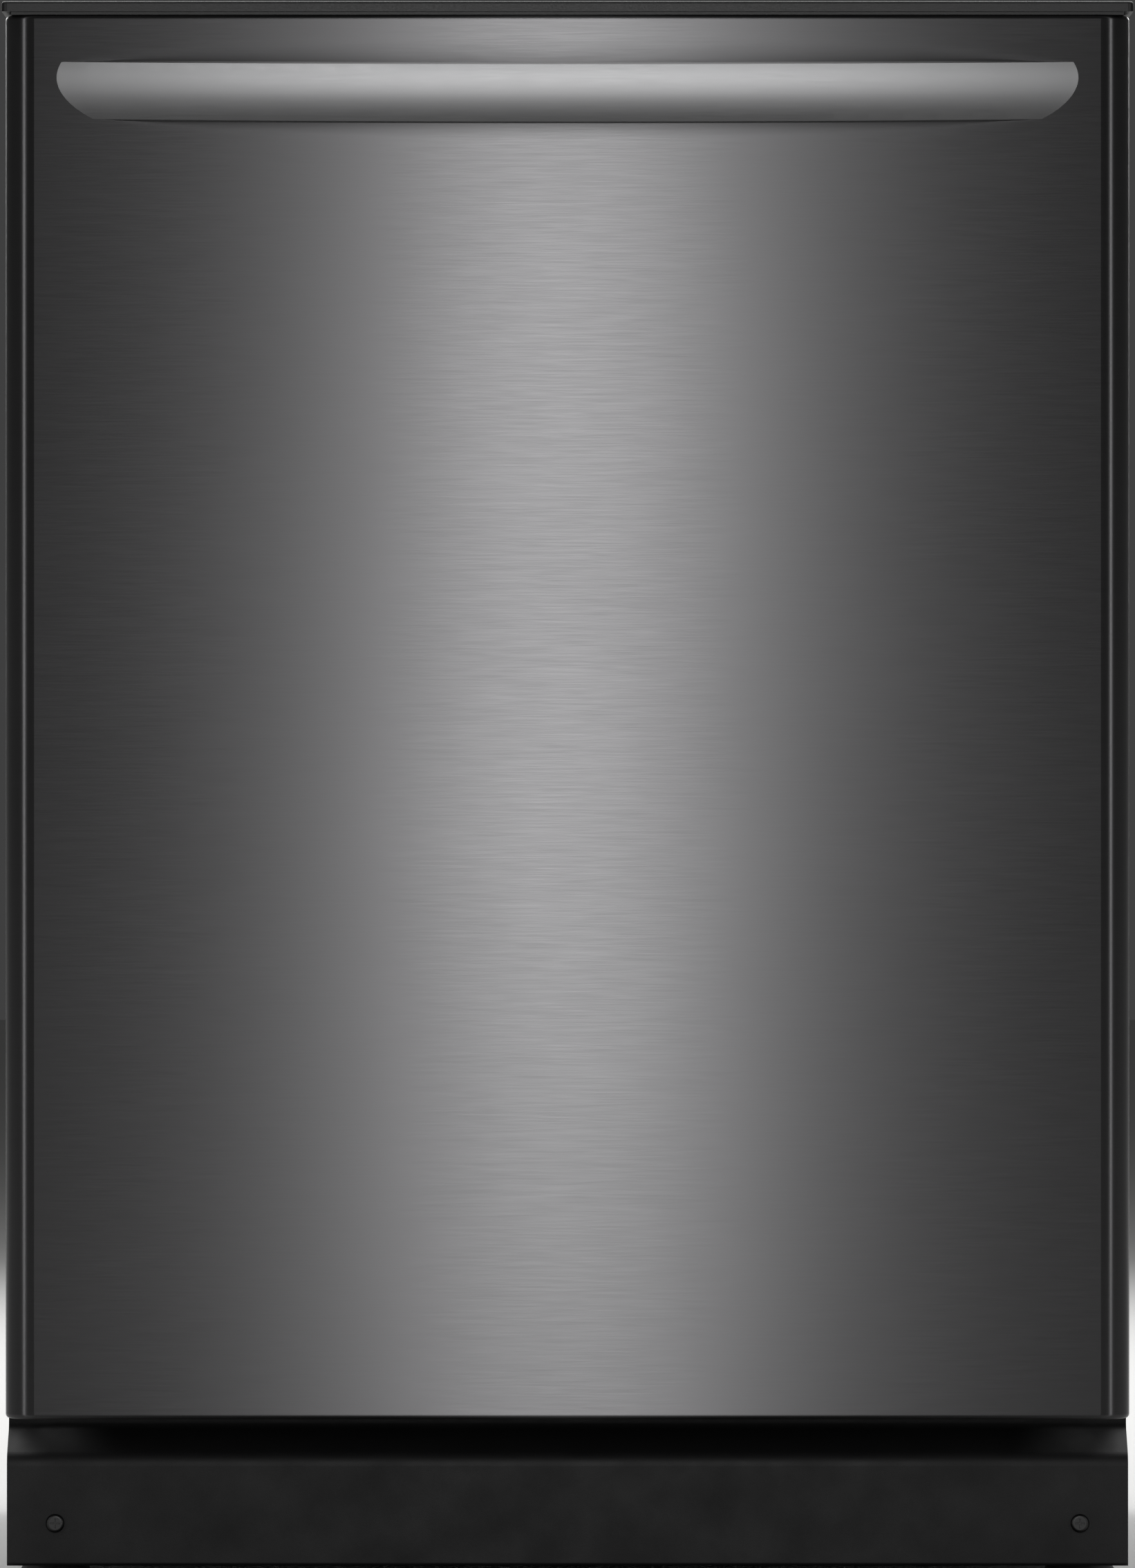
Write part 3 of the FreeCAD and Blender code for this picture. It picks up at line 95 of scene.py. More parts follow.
def spread(tree, value, low, high, fromLow=0.3, fromHigh=0.7):
    remap = addNode(tree, "ShaderNodeMapRange")
    remap.inputs["From Min"].default_value = fromLow
    remap.inputs["From Max"].default_value = fromHigh
    remap.inputs["To Min"].default_value = low
    remap.inputs["To Max"].default_value = high
    tree.links.new(value, remap.inputs["Value"])
    return remap.outputs["Result"]


def tint(tree, value, dark, light):
    blend = addNode(tree, "ShaderNodeMix", data_type="RGBA")
    tree.links.new(value, blend.inputs[0])
    blend.inputs[6].default_value = (*dark, 1)
    blend.inputs[7].default_value = (*light, 1)
    return blend.outputs[2]


def relief(tree, shader, height, depth, strength=1.0):
    bump = addNode(tree, "ShaderNodeBump", Strength=strength, Distance=depth)
    tree.links.new(height, bump.inputs["Height"])
    tree.links.new(bump.outputs["Normal"], shader.inputs["Normal"])


def shade(colour, factor):
    return tuple(min(1.0, c * factor) for c in colour)


def brushedMetal(name, colour, roughness, stretch, anisotropic=0.0, turn=0.0, lines=160.0, variation=0.08,
                 depth=4e-6):
    material, tree, shader = newMaterial(name)
    shader.inputs["Metallic"].default_value = 1.0
    strokes = noiseField(tree, lines, stretch, 6.0, 0.62)
    clouds = noiseField(tree, 5.0, (1, 1, 1), 3.0)
    mixed = addNode(tree, "ShaderNodeMath", operation="MULTIPLY_ADD")
    mixed.inputs[1].default_value = 0.75
    tree.links.new(strokes, mixed.inputs[0])
    tree.links.new(spread(tree, clouds, 0.0, 0.25), mixed.inputs[2])
    tree.links.new(tint(tree, mixed.outputs[0], shade(colour, 1 - variation), shade(colour, 1 + variation)),
                   shader.inputs["Base Color"])
    tree.links.new(spread(tree, strokes, roughness * 0.94, roughness * 1.06), shader.inputs["Roughness"])
    if anisotropic:
        shader.inputs["Anisotropic"].default_value = anisotropic
        shader.inputs["Anisotropic Rotation"].default_value = turn
        ring = addNode(tree, "ShaderNodeTangent", direction_type="RADIAL", axis="Z")
        tree.links.new(ring.outputs["Tangent"], shader.inputs["Tangent"])
    relief(tree, shader, strokes, depth, 0.6)
    return material


def mouldedPlastic(name, colour, roughness, grain=900.0, depth=1.5e-5, variation=0.05, coat=0.0):
    material, tree, shader = newMaterial(name)
    fine = noiseField(tree, grain, (1, 1, 1), 2.0)
    flow = noiseField(tree, 18.0, (1, 1, 0.4), 3.0)
    mottled = tint(tree, spread(tree, flow, 0, 1), shade(colour, 1 - variation), shade(colour, 1 + variation))
    tree.links.new(mottled, shader.inputs["Base Color"])
    tree.links.new(spread(tree, fine, roughness - 0.05, roughness + 0.06), shader.inputs["Roughness"])
    shader.inputs["Coat Weight"].default_value = coat
    relief(tree, shader, fine, depth, 0.5)
    return material


def powderCoat(name, colour, roughness, grain=1500.0, depth=4e-5):
    material, tree, shader = newMaterial(name)
    pebble = noiseField(tree, grain, (1, 1, 1), 3.0, 0.65)
    dust = noiseField(tree, 30.0, (1, 1, 1), 5.0)
    tree.links.new(tint(tree, spread(tree, pebble, 0, 1), shade(colour, 0.75), shade(colour, 1.45)),
                   shader.inputs["Base Color"])
    tree.links.new(spread(tree, dust, roughness - 0.06, roughness + 0.08), shader.inputs["Roughness"])
    shader.inputs["Specular IOR Level"].default_value = 0.3
    relief(tree, shader, pebble, depth, 0.8)
    return material


def galvanised(name, colour, roughness):
    material, tree, shader = newMaterial(name)
    shader.inputs["Metallic"].default_value = 0.85
    place = addNode(tree, "ShaderNodeTexCoord")
    crystal = addNode(tree, "ShaderNodeTexVoronoi", Scale=90.0, Randomness=1.0)
    tree.links.new(place.outputs["Object"], crystal.inputs["Vector"])
    split = addNode(tree, "ShaderNodeSeparateColor")
    tree.links.new(crystal.outputs["Color"], split.inputs[0])
    tree.links.new(tint(tree, split.outputs[0], shade(colour, 0.8), shade(colour, 1.15)),
                   shader.inputs["Base Color"])
    tree.links.new(spread(tree, split.outputs[1], roughness - 0.08, roughness + 0.1, 0, 1),
                   shader.inputs["Roughness"])
    relief(tree, shader, noiseField(tree, 260.0, (1, 1, 1), 4.0), 2e-5, 0.5)
    return material


def fibreFelt(name, dark, light, depth=4e-4):
    material, tree, shader = newMaterial(name)
    fibres = noiseField(tree, 420.0, (1, 1, 1), 8.0, 0.75)
    patches = noiseField(tree, 25.0, (1, 1, 1), 4.0)
    both = addNode(tree, "ShaderNodeMath", operation="MULTIPLY")
    tree.links.new(spread(tree, fibres, 0, 1, 0.35, 0.65), both.inputs[0])
    tree.links.new(spread(tree, patches, 0.55, 1.0), both.inputs[1])
    tree.links.new(tint(tree, both.outputs[0], dark, light), shader.inputs["Base Color"])
    shader.inputs["Roughness"].default_value = 0.95
    shader.inputs["Sheen Weight"].default_value = 0.35
    shader.inputs["Sheen Roughness"].default_value = 0.6
    relief(tree, shader, fibres, depth, 1.0)
    return material


def wovenMesh(name, colour, pitch):
    # fine filter cloth: crossed waves make the holes
    material, tree, shader = newMaterial(name)
    place = addNode(tree, "ShaderNodeTexCoord")
    waves = []
    for direction in ("DIAGONAL", "Z"):
        wave = addNode(tree, "ShaderNodeTexWave", Scale=0.5 / pitch, bands_direction=direction)
        tree.links.new(place.outputs["Object"], wave.inputs["Vector"])
        waves.append(wave.outputs["Fac"])
    both = addNode(tree, "ShaderNodeMath", operation="MULTIPLY")
    tree.links.new(waves[0], both.inputs[0])
    tree.links.new(waves[1], both.inputs[1])
    tree.links.new(tint(tree, both.outputs[0], shade(colour, 0.35), colour), shader.inputs["Base Color"])
    tree.links.new(spread(tree, both.outputs[0], 0.55, 0.35, 0, 1), shader.inputs["Roughness"])
    shader.inputs["Metallic"].default_value = 0.6
    relief(tree, shader, both.outputs[0], 2e-4, 0.8)
    return material


finishes = {
    "black_stainless": brushedMetal("blackStainless", (0.094, 0.093, 0.095), 0.34, (1, 1, 55), 0.9, 0.25, 42.0,
                                    0.11),
    "handle_finish": brushedMetal("handleMetal", (0.085, 0.085, 0.086), 0.52, (1, 1, 40), 0, 0, 60.0, 0.06),
    "tub_stainless": brushedMetal("tubSteel", (0.56, 0.56, 0.55), 0.3, (1, 1, 30), 0.5, 0.25, 60.0, 0.05),
    "rail_steel": brushedMetal("railSteel", (0.55, 0.55, 0.55), 0.28, (30, 1, 30), 0, 0, 70.0),
    "heater_sheath": brushedMetal("heaterSheath", (0.3, 0.27, 0.24), 0.42, (1, 1, 1), 0, 0, 120.0, 0.3, 1e-5),
    "spring_steel": brushedMetal("springSteel", (0.16, 0.155, 0.15), 0.38, (1, 1, 1), 0, 0, 200.0, 0.25, 1e-5),
    "zinc_screws": brushedMetal("zincScrews", (0.62, 0.62, 0.6), 0.3, (1, 1, 1), 0, 0, 300.0, 0.1, 8e-6),
    "dark_screws": brushedMetal("darkScrews", (0.05, 0.05, 0.05), 0.42, (1, 1, 1), 0, 0, 300.0, 0.2, 8e-6),
    "galvanised_steel": galvanised("galvanisedSteel", (0.46, 0.47, 0.48), 0.42),
    "toe_kick_black": powderCoat("kickPaint", (0.0066, 0.0066, 0.0068), 0.52),
    "console_black": mouldedPlastic("consolePlastic", (0.009, 0.009, 0.0093), 0.44, 1400.0),
    "button_black": mouldedPlastic("buttonPlastic", (0.03, 0.03, 0.031), 0.3, 1800.0),
    "light_guides": mouldedPlastic("lightGuide", (0.72, 0.78, 0.82), 0.25, 500.0),
    "circuit_board": mouldedPlastic("circuitBoard", (0.02, 0.16, 0.07), 0.35, 300.0, 6e-5, 0.25, 0.3),
    "grey_plastic": mouldedPlastic("greyPlastic", (0.2, 0.2, 0.21), 0.5),
    "dispenser_grey": mouldedPlastic("dispenserPlastic", (0.4, 0.41, 0.42), 0.42),
    "dispenser_dark": mouldedPlastic("dispenserCap", (0.045, 0.06, 0.09), 0.4),
    "pump_plastic": mouldedPlastic("pumpPlastic", (0.05, 0.05, 0.055), 0.45),
    "filter_grey": mouldedPlastic("filterPlastic", (0.33, 0.34, 0.35), 0.45),
    "nylon_white": mouldedPlastic("nylon", (0.6, 0.61, 0.61), 0.4),
    "rack_nylon": mouldedPlastic("rackCoat", (0.3, 0.31, 0.33), 0.38, 700.0, 4e-5, 0.06),
    "basket_grey": mouldedPlastic("basketPlastic", (0.27, 0.28, 0.3), 0.46),
    "spray_arm_grey": mouldedPlastic("sprayArmPlastic", (0.27, 0.28, 0.3), 0.44),
    "foot_nylon": mouldedPlastic("footNylon", (0.04, 0.04, 0.04), 0.5),
    "gasket_rubber": mouldedPlastic("gasketRubber", (0.02, 0.02, 0.02), 0.62, 600.0, 3e-5, 0.2),
    "felt": fibreFelt("blanketFelt", (0.008, 0.008, 0.009), (0.062, 0.062, 0.066)),
}
filterCloth = wovenMesh("filterCloth", (0.5, 0.5, 0.5), 0.0009)
dampingPad = mouldedPlastic("dampingPad", (0.022, 0.021, 0.02), 0.7, 700.0, 6e-5, 0.2)
for node, cadObject in cadNodes.items():
    cadObject.data.materials.clear()
    cadObject.data.materials.append(finishes[slotOf[node]])
print("materials:", len(finishes) + 1)


# node trees that repeat a piece or wind a coil
def socketIds(tree):
    return {item.name: item.identifier for item in tree.interface.items_tree
            if item.item_type == "SOCKET" and item.in_out == "INPUT"}


def repeatTree(name, isWire):
    # a path (swept round) or a mesh, repeated on a two-way array of points
    tree = bpy.data.node_groups.new(name, "GeometryNodeTree")
    face = tree.interface
    face.new_socket(name="Geometry", in_out="INPUT", socket_type="NodeSocketGeometry")
    for label, kind, value in (("Wire Radius", "NodeSocketFloat", 0.002),
                               ("Bend Radius", "NodeSocketFloat", 0.012),
                               ("Sides", "NodeSocketInt", 8), ("Start", "NodeSocketVector", (0, 0, 0)),
                               ("Step A", "NodeSocketVector", (0, 0, 0)), ("Count A", "NodeSocketInt", 1),
                               ("Step B", "NodeSocketVector", (0, 0, 0)), ("Count B", "NodeSocketInt", 1),
                               ("Finish", "NodeSocketMaterial", None)):
        socket = face.new_socket(name=label, in_out="INPUT", socket_type=kind)
        if value is not None:
            socket.default_value = value
    face.new_socket(name="Geometry", in_out="OUTPUT", socket_type="NodeSocketGeometry")
    given = tree.nodes.new("NodeGroupInput").outputs
    link = tree.links.new
    made = given["Geometry"]
    if isWire:
        bend = tree.nodes.new("GeometryNodeFilletCurve")
        bend.mode = "POLY"
        bend.inputs["Count"].default_value = 5
        bend.inputs["Limit Radius"].default_value = True
        link(given["Geometry"], bend.inputs["Curve"])
        link(given["Bend Radius"], bend.inputs["Radius"])
        circle = tree.nodes.new("GeometryNodeCurvePrimitiveCircle")
        link(given["Wire Radius"], circle.inputs["Radius"])
        link(given["Sides"], circle.inputs["Resolution"])
        sweep = tree.nodes.new("GeometryNodeCurveToMesh")
        sweep.inputs["Fill Caps"].default_value = True
        link(bend.outputs["Curve"], sweep.inputs["Curve"])
        link(circle.outputs["Curve"], sweep.inputs["Profile Curve"])
        made = sweep.outputs["Mesh"]
    for way in ("A", "B"):
        line = tree.nodes.new("GeometryNodeMeshLine")
        link(given["Count " + way], line.inputs["Count"])
        link(given["Step " + way], line.inputs["Offset"])
        if way == "A":
            link(given["Start"], line.inputs["Start Location"])
        placed = tree.nodes.new("GeometryNodeInstanceOnPoints")
        link(line.outputs["Mesh"], placed.inputs["Points"])
        link(made, placed.inputs["Instance"])
        solid = tree.nodes.new("GeometryNodeRealizeInstances")
        link(placed.outputs["Instances"], solid.inputs["Geometry"])
        made = solid.outputs["Geometry"]
    smooth = tree.nodes.new("GeometryNodeSetShadeSmooth")
    smooth.inputs["Shade Smooth"].default_value = isWire
    coat = tree.nodes.new("GeometryNodeSetMaterial")
    link(made, smooth.inputs["Geometry"])
    link(smooth.outputs["Geometry"], coat.inputs["Geometry"])
    link(given["Finish"], coat.inputs["Material"])
    link(coat.outputs["Geometry"], tree.nodes.new("NodeGroupOutput").inputs["Geometry"])
    return tree


def coilTree(name):
    # a wire wound into a coil along +Z
    tree = bpy.data.node_groups.new(name, "GeometryNodeTree")
    face = tree.interface
    face.new_socket(name="Geometry", in_out="INPUT", socket_type="NodeSocketGeometry")
    for label, kind in (("Coil Radius", "NodeSocketFloat"), ("Turns", "NodeSocketFloat"),
                        ("Length", "NodeSocketFloat"), ("Wire Radius", "NodeSocketFloat"),
                        ("Finish", "NodeSocketMaterial")):
        face.new_socket(name=label, in_out="INPUT", socket_type=kind)
    face.new_socket(name="Geometry", in_out="OUTPUT", socket_type="NodeSocketGeometry")
    given = tree.nodes.new("NodeGroupInput").outputs
    link = tree.links.new
    spiral = tree.nodes.new("GeometryNodeCurveSpiral")
    spiral.inputs["Resolution"].default_value = 18
    link(given["Coil Radius"], spiral.inputs["Start Radius"])
    link(given["Coil Radius"], spiral.inputs["End Radius"])
    link(given["Turns"], spiral.inputs["Rotations"])
    link(given["Length"], spiral.inputs["Height"])
    circle = tree.nodes.new("GeometryNodeCurvePrimitiveCircle")
    circle.inputs["Resolution"].default_value = 6
    link(given["Wire Radius"], circle.inputs["Radius"])
    sweep = tree.nodes.new("GeometryNodeCurveToMesh")
    sweep.inputs["Fill Caps"].default_value = True
    link(spiral.outputs["Curve"], sweep.inputs["Curve"])
    link(circle.outputs["Curve"], sweep.inputs["Profile Curve"])
    solid = tree.nodes.new("GeometryNodeRealizeInstances")
    link(sweep.outputs["Mesh"], solid.inputs["Geometry"])
    coat = tree.nodes.new("GeometryNodeSetMaterial")
    link(solid.outputs["Geometry"], coat.inputs["Geometry"])
    link(given["Finish"], coat.inputs["Material"])
    link(coat.outputs["Geometry"], tree.nodes.new("NodeGroupOutput").inputs["Geometry"])
    return tree


wireTree = repeatTree("repeatedWire", True)
copyTree = repeatTree("repeatedPiece", False)
springTree = coilTree("springCoil")


def bake(holder, tree, settings):
    bpy.context.scene.collection.objects.link(holder)
    modifier = holder.modifiers.new("repeat", "NODES")
    modifier.node_group = tree
    ids = socketIds(tree)
    for label, value in settings.items():
        modifier[ids[label]] = value
    graph = bpy.context.evaluated_depsgraph_get()
    mesh = bpy.data.meshes.new_from_object(holder.evaluated_get(graph))
    bpy.data.objects.remove(holder)
    return mesh


def wires(points, finish, radius=0.0018, bend=0.012, start=(0, 0, 0), stepA=(0, 0, 0), countA=1,
          stepB=(0, 0, 0), countB=1, closed=False, sides=8):
    curve = bpy.data.curves.new("wirePath", "CURVE")
    curve.dimensions = "3D"
    spline = curve.splines.new("POLY")
    spline.points.add(len(points) - 1)
    for target, point in zip(spline.points, points):
        target.co = (*point, 1)
    spline.use_cyclic_u = closed
    return bake(bpy.data.objects.new("wirePath", curve), wireTree,
                {"Wire Radius": radius, "Bend Radius": bend, "Sides": sides, "Start": start, "Step A": stepA,
                 "Count A": countA, "Step B": stepB, "Count B": countB, "Finish": finish})


def copies(mesh, finish, start, stepA=(0, 0, 0), countA=1, stepB=(0, 0, 0), countB=1):
    return bake(bpy.data.objects.new("copied", mesh), copyTree,
                {"Start": start, "Step A": stepA, "Count A": countA, "Step B": stepB, "Count B": countB,
                 "Finish": finish})


# mesh helpers
def addPiece(name, meshes, body, slotName, replaced=(), finish=None):
    whole = bmesh.new()
    for mesh in meshes:
        whole.from_mesh(mesh)
    for face in whole.faces:
        face.material_index = 0
    data = bpy.data.meshes.new(name)
    whole.to_mesh(data)
    whole.free()
    data.materials.clear()
    data.materials.append(finish or finishes[slotName])
    piece = bpy.data.objects.new(name, data)
    bpy.context.scene.collection.objects.link(piece)
    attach(piece, body)
    if replaced:
        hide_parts(*replaced)
    return piece


def keepIslands(node, test):
    # the loose solids of a CAD node whose low and high corners pass the test
    whole = bmesh.new()
    whole.from_mesh(cadNodes[node].data)
    bmesh.ops.remove_doubles(whole, verts=whole.verts, dist=1e-6)
    unseen = set(whole.verts)
    dropped = []
    while unseen:
        island, front = [], [unseen.pop()]
        while front:
            vert = front.pop()
            island.append(vert)
            for edge in vert.link_edges:
                other = edge.other_vert(vert)
                if other in unseen:
                    unseen.remove(other)
                    front.append(other)
        low = Vector([min(v.co[k] for v in island) for k in range(3)])
        high = Vector([max(v.co[k] for v in island) for k in range(3)])
        if not test(low, high):
            dropped += island
    bmesh.ops.delete(whole, geom=dropped, context="VERTS")
    for face in whole.faces:
        face.smooth = True
    for edge in whole.edges:
        edge.smooth = edge.is_manifold and edge.calc_face_angle() < math.radians(35)
    data = bpy.data.meshes.new(node + "Part")
    whole.to_mesh(data)
    whole.free()
    return data


def screwMesh(headRadius, headTall, facing):
    # pan head with a cross recess, built along +Z and turned to face the given way
    whole = bmesh.new()
    rings = [(0.0, headRadius), (headTall * 0.45, headRadius), (headTall * 0.8, headRadius * 0.86),
             (headTall, headRadius * 0.6)]
    sides = 20
    turns = [2 * math.pi * k / sides for k in range(sides)]
    loops = [[whole.verts.new((r * math.cos(turn), r * math.sin(turn), z)) for turn in turns] for z, r in rings]
    for lower, upper in zip(loops, loops[1:]):
        for k in range(sides):
            whole.faces.new((lower[k], lower[(k + 1) % sides], upper[(k + 1) % sides], upper[k]))
    whole.faces.new(list(reversed(loops[0])))
    arm, slot, deep = headRadius * 0.52, headRadius * 0.13, headTall * 0.45
    outline = [(arm, -slot), (arm, slot), (slot, slot), (slot, arm), (-slot, arm), (-slot, slot), (-arm, slot),
               (-arm, -slot), (-slot, -slot), (-slot, -arm), (slot, -arm), (slot, -slot)]
    corners = len(outline)
    top = [whole.verts.new((x, y, headTall)) for x, y in outline]
    bottom = [whole.verts.new((x * 0.7, y * 0.7, headTall - deep)) for x, y in outline]
    for k in range(corners):
        whole.faces.new((top[(k + 1) % corners], top[k], bottom[k], bottom[(k + 1) % corners]))
    whole.faces.new(bottom)
    edges = [whole.edges.get((top[k], top[(k + 1) % corners])) for k in range(corners)]
    edges += [whole.edges.get((loops[-1][k], loops[-1][(k + 1) % sides])) for k in range(sides)]
    bmesh.ops.bridge_loops(whole, edges=edges)
    bmesh.ops.recalc_face_normals(whole, faces=whole.faces)
    for face in whole.faces:
        face.smooth = len(face.verts) == 4 and face.calc_center_median().z < headTall * 0.95
    turned = Vector((0, 0, 1)).rotation_difference(Vector(facing)).to_matrix().to_4x4()
    whole.transform(turned)
    data = bpy.data.meshes.new("screw")
    whole.to_mesh(data)
    whole.free()
    return data


def blockMesh(low, high, edge):
    # box with rounded edges
    whole = bmesh.new()
    bmesh.ops.create_cube(whole, size=1.0)
    low, high = Vector(low), Vector(high)
    for vert in whole.verts:
        vert.co = Vector([(low[k] + high[k]) / 2 + vert.co[k] * (high[k] - low[k]) for k in range(3)])
    bmesh.ops.bevel(whole, geom=whole.edges[:], offset=edge, segments=3, profile=0.5, affect="EDGES")
    for face in whole.faces:
        face.smooth = True
    data = bpy.data.meshes.new("block")
    whole.to_mesh(data)
    whole.free()
    return data


def latticeMesh(corner, along, up, columns, rows, bar, thick):
    # flat panel with square holes: outer rim, then bars on both ways
    corner, along, up = Vector(corner), Vector(along), Vector(up)
    out = along.cross(up).normalized() * thick / 2
    whole = bmesh.new()
    parts = [(along * k / columns, along.normalized() * bar, up) for k in range(columns + 1)]
    parts += [(up * k / rows, up.normalized() * bar, along) for k in range(rows + 1)]
    for place, width, length in parts:
        bottom = corner + place - width / 2
        box = []
        for depth in (-out, out):
            for a, b in ((0, 0), (1, 0), (1, 1), (0, 1)):
                box.append(whole.verts.new(bottom + depth + width * a + length * b))
        for face in ((0, 1, 2, 3), (7, 6, 5, 4), (0, 4, 5, 1), (1, 5, 6, 2), (2, 6, 7, 3), (3, 7, 4, 0)):
            whole.faces.new([box[k] for k in face])
    bmesh.ops.recalc_face_normals(whole, faces=whole.faces)
    data = bpy.data.meshes.new("lattice")
    whole.to_mesh(data)
    whole.free()
    return data


# racks: bent wires in place of the closed grids, with clips, rollers and finger grips
def rackGrid(settings, frontTop, front, rear, floor, rim):
    # the U-shaped wires of a rack, both ways
    half, wire, coat = settings["half"], settings["wire"], finishes["rack_nylon"]
    longStep = 2 * (half - settings["sideGap"]) / (settings["longCount"] - 1)
    crossStep = (rear - front - 2 * settings["crossGap"]) / (settings["crossCount"] - 1)
    above = floor + 2 * wire
    return [
        wires([frontTop, (0, front, floor), (0, rear, floor), (0, rear, rim)], coat, wire, settings["corner"],
              (-half + settings["sideGap"], 0, 0), (longStep, 0, 0), settings["longCount"]),
        wires([(-half, 0, rim), (-half, 0, above), (half, 0, above), (half, 0, rim)], coat, wire,
              settings["corner"], (0, front + settings["crossGap"], 0), (0, crossStep, 0),
              settings["crossCount"]),
    ]


def tineRow(settings, x, front, base, tine):
    # a row of tines and the bar that carries them
    wire, coat, over = settings["wire"], finishes["rack_nylon"], settings["barOver"]
    first = front + settings["tineStart"]
    last = first + settings["tinePitch"] * (settings["tineCount"] - 1)
    return [
        wires(tine, coat, wire, settings["tineBend"], (x, first, base), (0, settings["tinePitch"], 0),
              settings["tineCount"]),
        wires([(x, first - over, base), (x, last + over, base)], coat, wire * 1.1),
    ]


def rackGrip(settings, front, rim):
    half, before, behind, below, above = settings["grip"]
    return blockMesh((-half, front - before, rim - below), (half, front + behind, rim + above),
                     settings["gripEdge"])


lowerRack = {
    "wire": 0.0018, "rim": 0.0024, "half": 0.2302, "endGap": 0.003, "lipOut": 0.048, "lipIn": 0.002,
    "rimTall": 0.114, "longCount": 17, "sideGap": 0.015, "crossCount": 15, "crossGap": 0.02, "corner": 0.014,
    "hoops": (0.035, 0.072), "hoopCorner": 0.026, "hoopSides": 10, "clipX": 0.24, "clipDeep": 0.06,
    "tineRows": (-0.198, -0.143, -0.088, -0.033, 0.022, 0.077), "tineStart": 0.048, "tinePitch": 0.030,
    "tineCount": 12, "tineTall": 0.072, "tineLean": 0.004, "tineBend": 0.02, "barOver": 0.008,
    "grip": (0.06, 0.0035, 0.003, 0.011, 0.0015), "gripEdge": 0.0018,
}


def makeLowerRack(settings):
    coat = finishes["rack_nylon"]
    low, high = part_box("lower_rack_floor")
    half, wire = settings["half"], settings["wire"]
    floor, rim = low.z + wire, low.z + settings["rimTall"]
    foot, rear = low.y + settings["endGap"], high.y - settings["endGap"]
    lip = low.y - settings["lipOut"] + settings["lipIn"]
    made = rackGrid(settings, (0, lip, rim), foot, rear, floor, rim)
    for rise in (*settings["hoops"], rim - floor):
        share = rise / (rim - floor)
        front = foot + (lip - foot) * share
        thick = settings["rim"] if share == 1 else wire
        level = floor + rise
        ring = [(-half, front, level), (half, front, level), (half, rear, level), (-half, rear, level)]
        made.append(wires(ring, coat, thick, settings["hoopCorner"], closed=True, sides=settings["hoopSides"]))
    lean, tall = settings["tineLean"], settings["tineTall"]
    tine = [(0, 0, 0), (0, lean * 0.4, tall * 0.5), (0, lean, tall)]
    for x in settings["tineRows"]:
        made += tineRow(settings, x, foot, floor + 2 * wire, tine)
    addPiece("lower_rack_wires", made, "lower_rack", "rack_nylon", ["lower_rack_floor", "lower_rack_walls"])
    clips = keepIslands("lower_rack_walls", lambda a, b: max(abs(a.x), abs(b.x)) > settings["clipX"]
                        and b.y - a.y < settings["clipDeep"])
    addPiece("lower_rack_clips", [clips], "lower_rack", "nylon_white")
    addPiece("lower_rack_grip", [rackGrip(settings, lip, rim)], "lower_rack", "basket_grey")


upperRack = {
    "wire": 0.0017, "rim": 0.0024, "half": 0.2338, "endGap": 0.003, "rimTall": 0.091, "frontDrop": 0.011,
    "slope": 0.03, "longCount": 17, "sideGap": 0.015, "crossCount": 15, "crossGap": 0.02, "corner": 0.014,
    "hoops": (0.03, 0.06), "hoopCorner": 0.02, "hoopSides": 10, "rollerX": 0.24,
    "tineRows": (-0.148, -0.073, 0.073, 0.148), "tineStart": 0.045, "tinePitch": 0.038, "tineCount": 11,
    "tineTall": 0.046, "tineLean": 0.0015, "tineBend": 0.0, "barOver": 0.01,
    "grip": (0.07, 0.003, 0.0035, 0.012, 0.0015), "gripEdge": 0.0018,
}


def makeUpperRack(settings):
    coat = finishes["rack_nylon"]
    low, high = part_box("upper_rack_floor")
    half, wire = settings["half"], settings["wire"]
    floor, rim = low.z + wire, low.z + settings["rimTall"]
    front, rear = low.y + settings["endGap"], high.y - settings["endGap"]
    frontRim = rim - settings["frontDrop"]
    made = rackGrid(settings, (0, front, frontRim), front, rear, floor, rim)
    for rise in (*settings["hoops"], rim - floor):
        top = rise > settings["hoops"][-1]
        level = floor + rise
        near = frontRim if top else level
        bend = front + settings["slope"]
        ring = [(-half, front, near), (half, front, near), (half, bend, level), (half, rear, level),
                (-half, rear, level), (-half, bend, level)]
        made.append(wires(ring, coat, settings["rim"] if top else wire, settings["hoopCorner"], closed=True,
                          sides=settings["hoopSides"]))
    for x in settings["tineRows"]:
        lean = settings["tineLean"] * (1 if x > 0 else -1)
        made += tineRow(settings, x, front, floor + 2 * wire, [(0, 0, 0), (lean, 0, settings["tineTall"])])
    addPiece("upper_rack_wires", made, "upper_rack", "rack_nylon", ["upper_rack_floor", "upper_rack_walls"])
    rollers = keepIslands("upper_rack_walls", lambda a, b: max(abs(a.x), abs(b.x)) > settings["rollerX"])
    addPiece("upper_rack_rollers", [rollers], "upper_rack", "nylon_white")
    addPiece("upper_rack_grip", [rackGrip(settings, front, frontRim)], "upper_rack", "basket_grey")


makeLowerRack(lowerRack)
makeUpperRack(upperRack)
print("racks made")


# cutlery basket: open panels round four cells, with a hoop to carry it by
basket = {
    "wall": 0.0022, "bar": 0.0022, "rows": 9, "sideColumns": 26, "endColumns": 9, "cells": 4,
    "hoopTall": 0.038, "rimRadius": 0.0028, "rimCorner": 0.008, "footShare": 0.9, "footLift": 0.001,
    "panelGap": 0.002, "hoopRadius": 0.005, "hoopDrop": 0.0055, "hoopSink": 0.004, "hoopFeet": 0.075,
    "hoopTop": 0.06, "hoopBend": 0.018, "hoopSides": 12,
}


